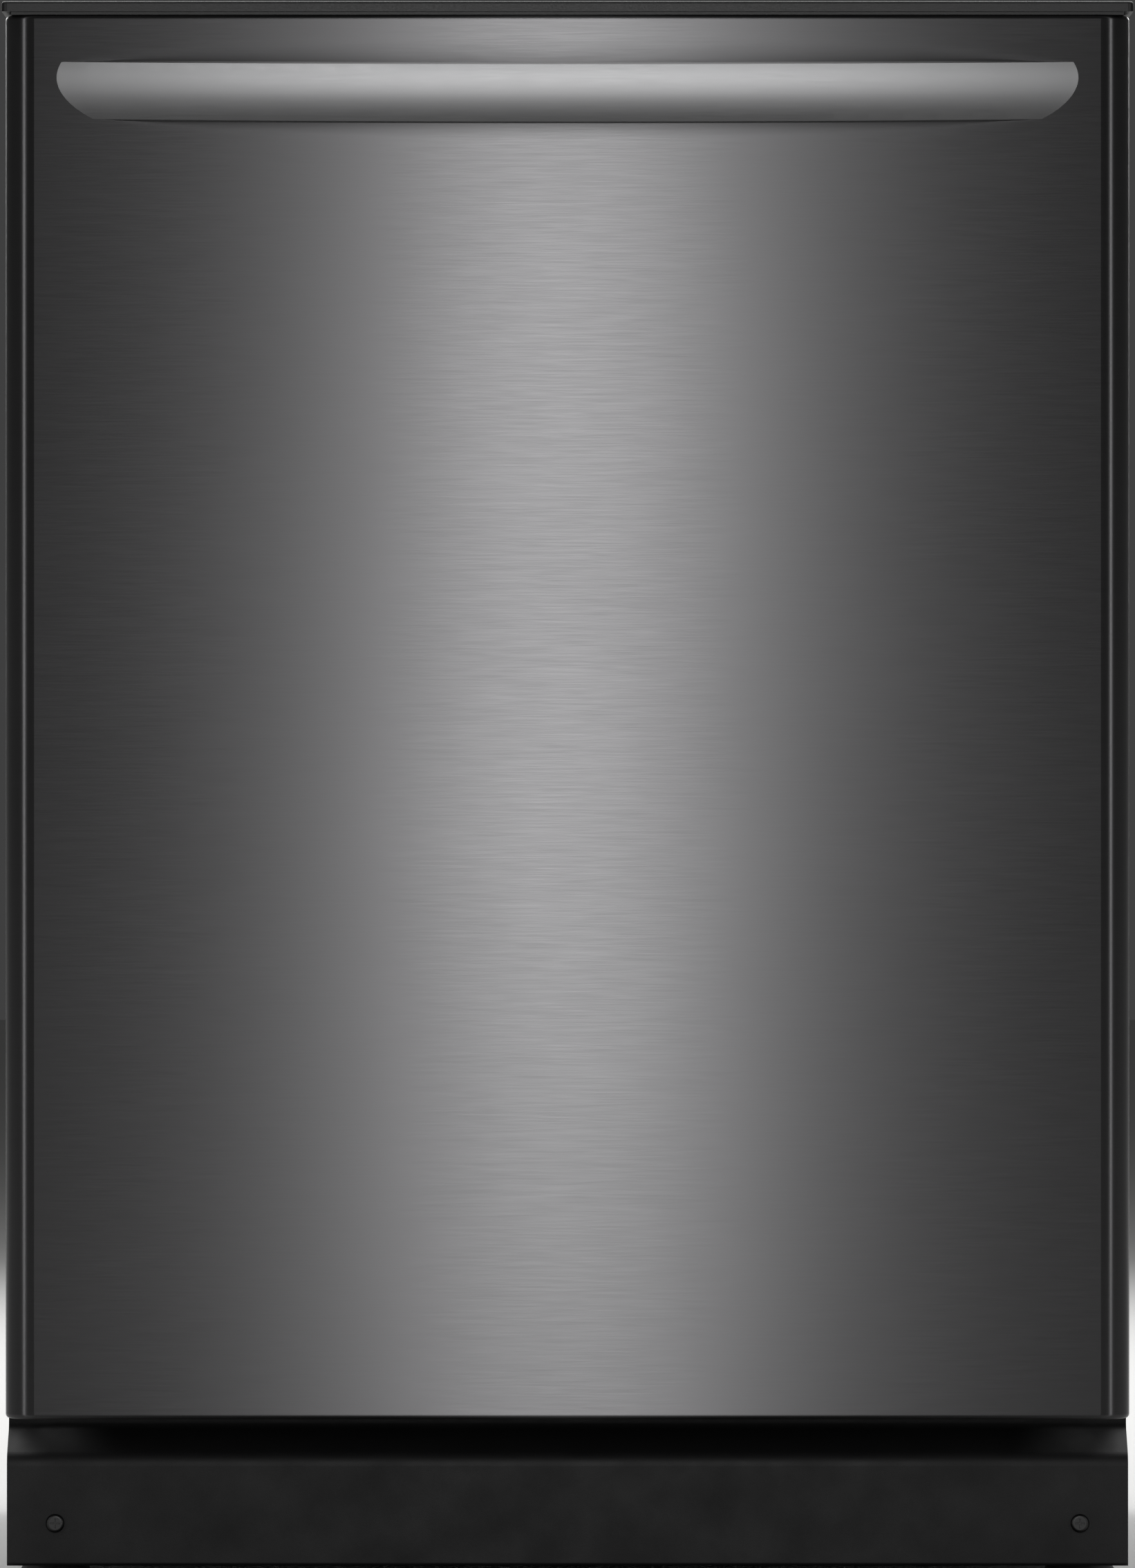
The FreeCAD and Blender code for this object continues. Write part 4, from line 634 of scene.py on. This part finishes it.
def makeBasket(settings):
    low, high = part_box("cutlery_basket")
    top = high.z - settings["hoopTall"]
    inset = settings["wall"]
    x0, x1, y0, y1, z0 = low.x + inset, high.x - inset, low.y + inset, high.y - inset, low.z + inset
    rise = Vector((0, 0, top - z0 - settings["panelGap"]))
    bar, thick, rows = settings["bar"], settings["wall"], settings["rows"]
    sides, ends = settings["sideColumns"], settings["endColumns"]
    long, wide = Vector((0, y1 - y0, 0)), Vector((x1 - x0, 0, 0))
    made = [latticeMesh((x, y0, z0), long, rise, sides, rows, bar, thick) for x in (x0, x1, (x0 + x1) / 2)]
    made.append(latticeMesh((x0, y0, z0), wide, long, ends, sides, bar, thick))
    for k in range(settings["cells"] + 1):
        y = y0 + (y1 - y0) * k / settings["cells"]
        made.append(latticeMesh((x0, y, z0), wide, rise, ends, rows, bar, thick))
    plastic = finishes["basket_grey"]
    ring = [(x0, y0, top), (x1, y0, top), (x1, y1, top), (x0, y1, top)]
    made.append(wires(ring, plastic, settings["rimRadius"], settings["rimCorner"], closed=True))
    foot = [(x, y, z0 + settings["footLift"]) for x, y, _ in ring]
    made.append(wires(foot, plastic, settings["rimRadius"] * settings["footShare"], settings["rimCorner"],
                      closed=True))
    middle, centre = (y0 + y1) / 2, (x0 + x1) / 2
    root, crest = top - settings["hoopSink"], high.z - settings["hoopDrop"]
    hoop = [(centre, middle - settings["hoopFeet"], root), (centre, middle - settings["hoopTop"], crest),
            (centre, middle + settings["hoopTop"], crest), (centre, middle + settings["hoopFeet"], root)]
    made.append(wires(hoop, plastic, settings["hoopRadius"], settings["hoopBend"], sides=settings["hoopSides"]))
    addPiece("cutlery_basket_body", made, "lower_rack", "basket_grey", ["cutlery_basket"])


makeBasket(basket)
print("cutlery basket made")


# counterbalance springs: coils between straight wires, with an anchor tab at the rear
spring = {
    "coilRadius": 0.0067, "wire": 0.0012, "turns": 42, "hookRadius": 0.0016, "axis": 0.284, "lift": 0.008,
    "coilStart": 0.158, "coilEnd": 0.288, "frontGap": 0.002, "rearGap": 0.004, "reach": 0.012, "bend": 0.006,
    "tabX": 0.2883, "tabHalf": 0.0073, "tabStart": 0.001, "tabEdge": 0.0008,
}


def makeSprings(settings):
    low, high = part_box("door_springs")
    axis, coilRadius, reach = settings["axis"], settings["coilRadius"], settings["reach"]
    level = low.z + settings["lift"]
    front, rear = low.y + settings["coilStart"], low.y + settings["coilEnd"]
    anchor = high.y - settings["rearGap"]
    steel = finishes["spring_steel"]
    holder = bpy.data.objects.new("coilHolder", bpy.data.meshes.new("coilHolder"))
    coil = bake(holder, springTree, {"Coil Radius": coilRadius, "Turns": float(settings["turns"]),
                                     "Length": rear - front, "Wire Radius": settings["wire"], "Finish": steel})
    coil.polygons.foreach_set("use_smooth", [True] * len(coil.polygons))
    made = []
    for side in (-1, 1):
        x = side * axis
        turned = coil.copy()
        turned.transform(Matrix.Translation((x, front, level)) @ Matrix.Rotation(-math.pi / 2, 4, "X"))
        made.append(turned)
        pull = [(x, low.y + settings["frontGap"], level), (x, front - reach, level),
                (x, front - settings["frontGap"], level + coilRadius)]
        hook = [(x, rear, level + coilRadius), (x, rear + reach, level), (x, anchor, level)]
        made.append(wires(pull, steel, settings["hookRadius"], settings["bend"]))
        made.append(wires(hook, steel, settings["hookRadius"], settings["bend"]))
        tab = side * settings["tabX"]
        made.append(blockMesh((tab - settings["tabHalf"], anchor - settings["tabStart"], low.z),
                              (tab + settings["tabHalf"], high.y, high.z), settings["tabEdge"]))
    addPiece("door_spring_coils", made, "cabinet", "spring_steel", ["door_springs"])


makeSprings(spring)
print("springs made")


# sound blanket: one quilted sheet over both sides and the top of the tub
blanket = {
    "thick": 0.0055, "gap": 0.0012, "inset": 0.009, "corner": 0.034, "quilt": 0.095, "puff": 0.0034,
    "rough": 0.0009, "roughScale": 9, "roughSeed": 3.7, "lift": 0.0009, "across": 130, "deep": 64,
}


def makeBlanket(settings):
    low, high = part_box("sound_blanket")
    half = high.x - settings["inset"] + settings["gap"]
    top = high.z - settings["inset"] + settings["gap"]
    r = settings["corner"]
    straight, arc, roof = top - r - low.z, math.pi * r / 2, 2 * (half - r)
    total = 2 * straight + 2 * arc + roof

    def ribbon(s):
        # point and outward direction at the distance s along the blanket's cross section
        if s < straight:
            return Vector((-half, 0, low.z + s)), Vector((-1, 0, 0))
        if s < straight + arc:
            a = (s - straight) / r
            out = Vector((-math.cos(a), 0, math.sin(a)))
            return Vector((-half + r, 0, top - r)) + out * r, out
        if s < straight + arc + roof:
            return Vector((-half + r + s - straight - arc, 0, top)), Vector((0, 0, 1))
        if s < straight + 2 * arc + roof:
            a = (s - straight - arc - roof) / r
            out = Vector((math.sin(a), 0, math.cos(a)))
            return Vector((half - r, 0, top - r)) + out * r, out
        return Vector((half, 0, low.z + total - s)), Vector((1, 0, 0))

    def swell(s, y):
        # how far the quilting and the loose cloth push the sheet outward
        wave = math.sin(math.pi * s / settings["quilt"]) * math.sin(math.pi * (y - low.y) / settings["quilt"])
        scale = settings["roughScale"]
        loose = noise.noise(Vector((s * scale, y * scale, settings["roughSeed"]))) * settings["rough"]
        return settings["puff"] * abs(wave) ** 0.5 + loose + settings["lift"]

    whole = bmesh.new()
    grid = []
    for i in range(settings["across"] + 1):
        s = total * i / settings["across"]
        point, out = ribbon(s)
        row = []
        for j in range(settings["deep"] + 1):
            y = low.y + (high.y - low.y) * j / settings["deep"]
            row.append(whole.verts.new(point + Vector((0, y, 0)) + out * swell(s, y)))
        grid.append(row)
    for i in range(settings["across"]):
        for j in range(settings["deep"]):
            whole.faces.new((grid[i][j], grid[i][j + 1], grid[i + 1][j + 1], grid[i + 1][j]))
    bmesh.ops.recalc_face_normals(whole, faces=whole.faces)
    middle = min(whole.faces, key=lambda f: (f.calc_center_median() - Vector((0, 0, top))).length)
    if middle.normal.z < 0:
        bmesh.ops.reverse_faces(whole, faces=whole.faces)
    data = bpy.data.meshes.new("blanketSheet")
    for face in whole.faces:
        face.smooth = True
    whole.to_mesh(data)
    whole.free()
    piece = addPiece("sound_blanket_felt", [data], "cabinet", "felt", ["sound_blanket"])
    wall = piece.modifiers.new("thickness", "SOLIDIFY")
    wall.thickness = settings["thick"]
    wall.offset = 1.0


# sound pad inside the door: the CAD pad, softened and dented
doorPad = {"voxel": 0.007, "soften": 6, "sink": 0.0012, "dent": 0.0011, "dentScale": 14, "fill": 0.45}


def makeDoorPad(settings):
    source = keepIslands("door_sound_pad", lambda a, b: True)
    holder = bpy.data.objects.new("padHolder", source)
    bpy.context.scene.collection.objects.link(holder)
    voxel = holder.modifiers.new("voxel", "REMESH")
    voxel.mode = "VOXEL"
    voxel.voxel_size = settings["voxel"]
    soften = holder.modifiers.new("soften", "SMOOTH")
    soften.iterations = settings["soften"]
    mesh = bpy.data.meshes.new_from_object(holder.evaluated_get(bpy.context.evaluated_depsgraph_get()))
    bpy.data.objects.remove(holder)
    for vert in mesh.vertices:
        dent = noise.noise(vert.co * settings["dentScale"]) * settings["dent"]
        vert.co = vert.co - vert.normal * (settings["sink"] + dent)
    mesh.polygons.foreach_set("use_smooth", [True] * len(mesh.polygons))
    piece = addPiece("door_sound_pad_felt", [mesh], "door", "felt", ["door_sound_pad"])


makeBlanket(blanket)
makeDoorPad(doorPad)
print("felt pieces made")


# screws along both folded edges of the door liner, seen with the door open
liner = {"screwX": 0.290, "flange": 0.050, "start": 0.19, "step": 0.145, "count": 5, "head": 0.0036, "tall": 0.0019}


def makeLinerScrews(settings):
    head = screwMesh(settings["head"], settings["tall"], (0, 1, 0))
    made = copies(head, finishes["zinc_screws"],
                  (-settings["screwX"], doorFace + settings["flange"], settings["start"]),
                  (2 * settings["screwX"], 0, 0), 2, (0, 0, settings["step"]), settings["count"])
    addPiece("liner_screws", [made], "door", "zinc_screws")


# side screws that hold the frame's edge to the tub, and the screws of the counter brackets
edgeScrews = {"head": 0.0034, "tall": 0.0018, "inset": 0.010, "start": 0.07, "step": 0.142, "count": 5}
tabScrews = {"head": 0.003, "tall": 0.0016, "tabX": 0.23, "pitch": 0.014, "back": 0.0085, "lift": 0.0015}


def makeFrameScrews(edges, tabs):
    low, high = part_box("front_frame")
    tabLow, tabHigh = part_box("counter_brackets")
    made = []
    for side, edge in ((-1, low.x), (1, high.x)):
        head = screwMesh(edges["head"], edges["tall"], (side, 0, 0))
        made.append(copies(head, finishes["zinc_screws"], (edge, low.y + edges["inset"], low.z + edges["start"]),
                           (0, 0, edges["step"]), edges["count"]))
    head = screwMesh(tabs["head"], tabs["tall"], (0, 0, 1))
    for side in (-1, 1):
        start = (side * tabs["tabX"] - tabs["pitch"] / 2, high.y - tabs["back"], tabLow.z + tabs["lift"])
        made.append(copies(head, finishes["zinc_screws"], start, (tabs["pitch"], 0, 0), 2))
    addPiece("frame_screws", made, "cabinet", "zinc_screws")


# bracket screws through each rail, and the screw of the junction box's lid
railScrews = {"head": 0.0046, "tall": 0.0026, "back": 0.084, "low": 0.045, "step": 0.055}
lidScrew = {"head": 0.0032, "tall": 0.0018, "drop": 0.012}


def makeBaseScrews(rails, lid):
    low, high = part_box("base_rails")
    boxLow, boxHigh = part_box("junction_box")
    made = []
    for side, edge in ((-1, low.x), (1, high.x)):
        head = screwMesh(rails["head"], rails["tall"], (side, 0, 0))
        made.append(copies(head, finishes["zinc_screws"], (edge, doorFace + rails["back"], rails["low"]),
                           (0, 0, rails["step"]), 2))
    head = screwMesh(lid["head"], lid["tall"], (0, -1, 0))
    made.append(copies(head, finishes["zinc_screws"],
                       ((boxLow.x + boxHigh.x) / 2, boxLow.y, boxHigh.z - lid["drop"])))
    addPiece("base_screws", made, "cabinet", "zinc_screws")


# four corner screws, a rubber lip and the rinse aid window of the dispenser
dispenser = {
    "face": 0.066, "head": 0.0028, "tall": 0.0013, "inset": 0.0105, "lipBack": 0.063, "lipOut": 0.0012,
    "lipRadius": 0.0016, "lipCorner": 0.013, "windowX": 0.040, "windowLow": 0.508, "windowHigh": 0.520,
    "windowRadius": 0.003, "windowSink": 0.0028, "windowSides": 14,
}


def makeDispenserDetail(settings):
    low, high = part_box("dispenser_housing")
    face, inset, out = doorFace + settings["face"], settings["inset"], settings["lipOut"]
    head = screwMesh(settings["head"], settings["tall"], (0, 1, 0))
    made = copies(head, finishes["zinc_screws"], (low.x + inset, face, low.z + inset),
                  (high.x - low.x - 2 * inset, 0, 0), 2, (0, 0, high.z - low.z - 2 * inset), 2)
    addPiece("dispenser_screws", [made], "door", "zinc_screws")
    x0, x1, z0, z1, y = low.x - out, high.x + out, low.z - out, high.z + out, doorFace + settings["lipBack"]
    lip = wires([(x0, y, z0), (x1, y, z0), (x1, y, z1), (x0, y, z1)], finishes["gasket_rubber"],
                settings["lipRadius"], settings["lipCorner"], closed=True)
    addPiece("dispenser_lip", [lip], "door", "gasket_rubber")
    x, y = settings["windowX"], face - settings["windowSink"]
    window = wires([(x, y, settings["windowLow"]), (x, y, settings["windowHigh"])], finishes["light_guides"],
                   settings["windowRadius"], 0.0, sides=settings["windowSides"])
    addPiece("rinse_window", [window], "door", "light_guides")


# sleeve of fine cloth round the filter cup
sleeveCloth = {"out": 0.0002, "tall": 0.046, "middle": 0.028, "segments": 72, "thick": 0.0002}


def makeFilterSleeve(settings):
    low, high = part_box("filter_cup")
    centre = (low + high) / 2
    radius = (high.x - low.x) / 2 + settings["out"]
    whole = bmesh.new()
    bmesh.ops.create_cone(whole, cap_ends=False, segments=settings["segments"], radius1=radius, radius2=radius,
                          depth=settings["tall"])
    for vert in whole.verts:
        vert.co += Vector((centre.x, centre.y, low.z + settings["middle"]))
    for face in whole.faces:
        face.smooth = True
    data = bpy.data.meshes.new("sleeve")
    whole.to_mesh(data)
    whole.free()
    sleeve = addPiece("filter_cup_mesh", [data], "filter_cup", "filter_grey", finish=filterCloth)
    wall = sleeve.modifiers.new("thickness", "SOLIDIFY")
    wall.thickness = settings["thick"]
    wall.offset = 1.0


def circlePath(radius, count, axis):
    # points round a circle about the axis with the given number
    turns = [2 * math.pi * k / count for k in range(count)]
    pairs = [(radius * math.cos(turn), radius * math.sin(turn)) for turn in turns]
    return [((0, a, b), (a, 0, b), (a, b, 0))[axis] for a, b in pairs]


# cooling ribs round the wash pump's can, and hose barbs on the drain pump's spigot
pumpLevel = 0.066
pumpRibs = {"back": 0.330, "radius": 0.0338, "wire": 0.0012, "start": 0.030, "step": 0.0085, "count": 9}
barbs = {"x": 0.1292, "radius": 0.0097, "wire": 0.0007, "start": 0.006, "step": 0.009, "count": 3}


def makePumpDetail(ribs, hose):
    plastic = finishes["pump_plastic"]
    canLow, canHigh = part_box("wash_pump")
    spigotLow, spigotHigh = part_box("drain_pump")
    rib = wires(circlePath(ribs["radius"], 28, 0), plastic, ribs["wire"], 0.0,
                (canLow.x + ribs["start"], doorFace + ribs["back"], pumpLevel), (ribs["step"], 0, 0),
                ribs["count"], closed=True, sides=6)
    addPiece("wash_pump_ribs", [rib], "cabinet", "pump_plastic")
    barb = wires(circlePath(hose["radius"], 20, 1), plastic, hose["wire"], 0.0,
                 (hose["x"], spigotHigh.y - hose["start"], pumpLevel), (0, -hose["step"], 0), hose["count"],
                 closed=True, sides=6)
    addPiece("drain_spigot_barbs", [barb], "cabinet", "pump_plastic")


# thread rings on the stem of each foot
footThread = {"radius": 0.00478, "wire": 0.00035, "start": 0.0405, "pitch": 0.0015, "count": 14}


def makeFootThreads(settings):
    steel = finishes["zinc_screws"]
    for node in ("foot_front_left", "foot_front_right", "foot_rear_left", "foot_rear_right"):
        low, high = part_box(node)
        centre = (low + high) / 2
        thread = wires(circlePath(settings["radius"], 20, 2), steel, settings["wire"], 0.0,
                       (centre.x, centre.y, low.z + settings["start"]), (0, 0, settings["pitch"]),
                       settings["count"], closed=True, sides=5)
        addPiece(node + "_thread", [thread], node, "foot_nylon", finish=steel)


# damping pads stuck on the tub's rear wall between its ribs
rearPads = {
    "half": 0.165, "into": 0.0008, "out": 0.0018, "edge": 0.0009,
    "levels": ((0.165, 0.262), (0.300, 0.422), (0.460, 0.582), (0.622, 0.745)),
}


def makeRearPads(settings):
    low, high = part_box("tub_shell")
    half, near, far = settings["half"], high.y - settings["into"], high.y + settings["out"]
    made = [blockMesh((-half, near, bottom), (half, far, top), settings["edge"])
            for bottom, top in settings["levels"]]
    addPiece("tub_rear_pads", made, "cabinet", "felt", finish=dampingPad)


# long pressed beads along the tub's side walls, under and over the rails
tubBeads = {"sink": 0.0013, "radius": 0.0028, "front": 0.045, "rear": 0.07, "starts": (0.38, 0.66), "step": 0.05,
            "count": 3, "sides": 14}


def makeTubBeads(settings):
    low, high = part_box("tub_shell")
    inner = high.x - settings["sink"]
    made = []
    for side in (-1, 1):
        bead = [(side * inner, low.y + settings["front"], 0), (side * inner, high.y - settings["rear"], 0)]
        for start in settings["starts"]:
            made.append(wires(bead, finishes["tub_stainless"], settings["radius"], 0.0, (0, 0, start),
                              (0, 0, settings["step"]), settings["count"], sides=settings["sides"]))
    addPiece("tub_beads", made, "cabinet", "tub_stainless")


makeLinerScrews(liner)
makeFrameScrews(edgeScrews, tabScrews)
makeBaseScrews(railScrews, lidScrew)
makeDispenserDetail(dispenser)
makeFilterSleeve(sleeveCloth)
makePumpDetail(pumpRibs, barbs)
makeFootThreads(footThread)
makeTubBeads(tubBeads)
makeRearPads(rearPads)
print("fasteners and small detail made")


# floor, light and camera
studio = {
    "cameraBack": 6.0, "cameraHigh": 0.4261, "lens": 257.4, "sensor": 36.0, "farEnd": 50.0, "world": 0.05,
    "floorTone": (0.66, 0.66, 0.65), "floorRough": 0.85, "floorHalf": 14.0, "floorDrop": 0.0005,
}


def makeFloor():
    whole = bmesh.new()
    bmesh.ops.create_grid(whole, x_segments=1, y_segments=1, size=studio["floorHalf"])
    data = bpy.data.meshes.new("studioFloor")
    whole.to_mesh(data)
    whole.free()
    floor = bpy.data.objects.new("studioFloor", data)
    bpy.context.scene.collection.objects.link(floor)
    floor.location.z = -studio["floorDrop"]
    material, tree, shader = newMaterial("paleFloor")
    shader.inputs["Base Color"].default_value = (*studio["floorTone"], 1)
    shader.inputs["Roughness"].default_value = studio["floorRough"]
    data.materials.append(material)


def addLight(name, place, aim, size, power):
    light = bpy.data.lights.new(name, "AREA")
    light.shape = "RECTANGLE"
    light.size, light.size_y = size
    light.energy = power
    lamp = bpy.data.objects.new(name, light)
    bpy.context.scene.collection.objects.link(lamp)
    lamp.location = place
    lamp.rotation_euler = (Vector(aim) - Vector(place)).to_track_quat("-Z", "Y").to_euler()
    lamp.visible_camera = False
    return lamp


def litOnly(lamp, name, test):
    # the lamp lights only the objects that pass the test
    chosen = bpy.data.collections.new(name)
    for shown in bpy.context.scene.objects:
        if shown.type == "MESH" and test(shown):
            chosen.objects.link(shown)
    lamp.light_linking.receiver_collection = chosen


def makeLights():
    grip = cadNodes["door_handle"]
    # a narrow upright strip in front gives the door its soft upright highlight
    strip = addLight("stripLight", (-0.007, doorFace - 2.0, 0.42), (-0.007, doorFace, 0.42), (0.05, 1.5), 12.8)
    litOnly(strip, "stripLit", lambda shown: shown != grip and shown.name != "studioFloor")
    for side, letter in ((-1, "L"), (1, "R")):
        edge = addLight("sideStrip" + letter, (side * 1.8, doorFace - 1.65, 0.66), (side * 0.3, doorFace, 0.5),
                        (0.25, 1.25), 5.0)
        litOnly(edge, "edgeLit" + letter, lambda shown: shown.name != "studioFloor")
        addLight("rearFill" + letter, (side * 0.9, 2.7, 1.7), (0, 0.3, 0.4), (1.2, 1.2), 22.0)
    # the overhead softbox stays behind the door's plane, so the door keeps its dark sides
    addLight("topSoftbox", (0, 0.95, 2.5), (0, 0.95, 0), (3.0, 2.0), 75.0)
    bar = addLight("handleLight", (0, -1.77, 1.0), (0, -0.3, 0.8), (2.0, 1.05), 86.0)
    litOnly(bar, "handleLit", lambda shown: shown == grip)


def makeWorld():
    world = bpy.data.worlds.new("studioWorld")
    world.use_nodes = True
    backdrop = world.node_tree.nodes["Background"]
    backdrop.inputs["Color"].default_value = (1, 1, 1, 1)
    backdrop.inputs["Strength"].default_value = studio["world"]
    bpy.context.scene.world = world


def makeCamera():
    camera = bpy.data.cameras.new("camera")
    camera.sensor_width = studio["sensor"]
    camera.lens = studio["lens"]
    camera.clip_end = studio["farEnd"]
    holder = bpy.data.objects.new("camera", camera)
    bpy.context.scene.collection.objects.link(holder)
    holder.location = (0, doorFace - studio["cameraBack"], studio["cameraHigh"])
    holder.rotation_euler = (math.pi / 2, 0, 0)
    bpy.context.scene.camera = holder


makeFloor()
makeLights()
makeWorld()
makeCamera()
bpy.context.scene.view_settings.view_transform = "Standard"
print("studio made")
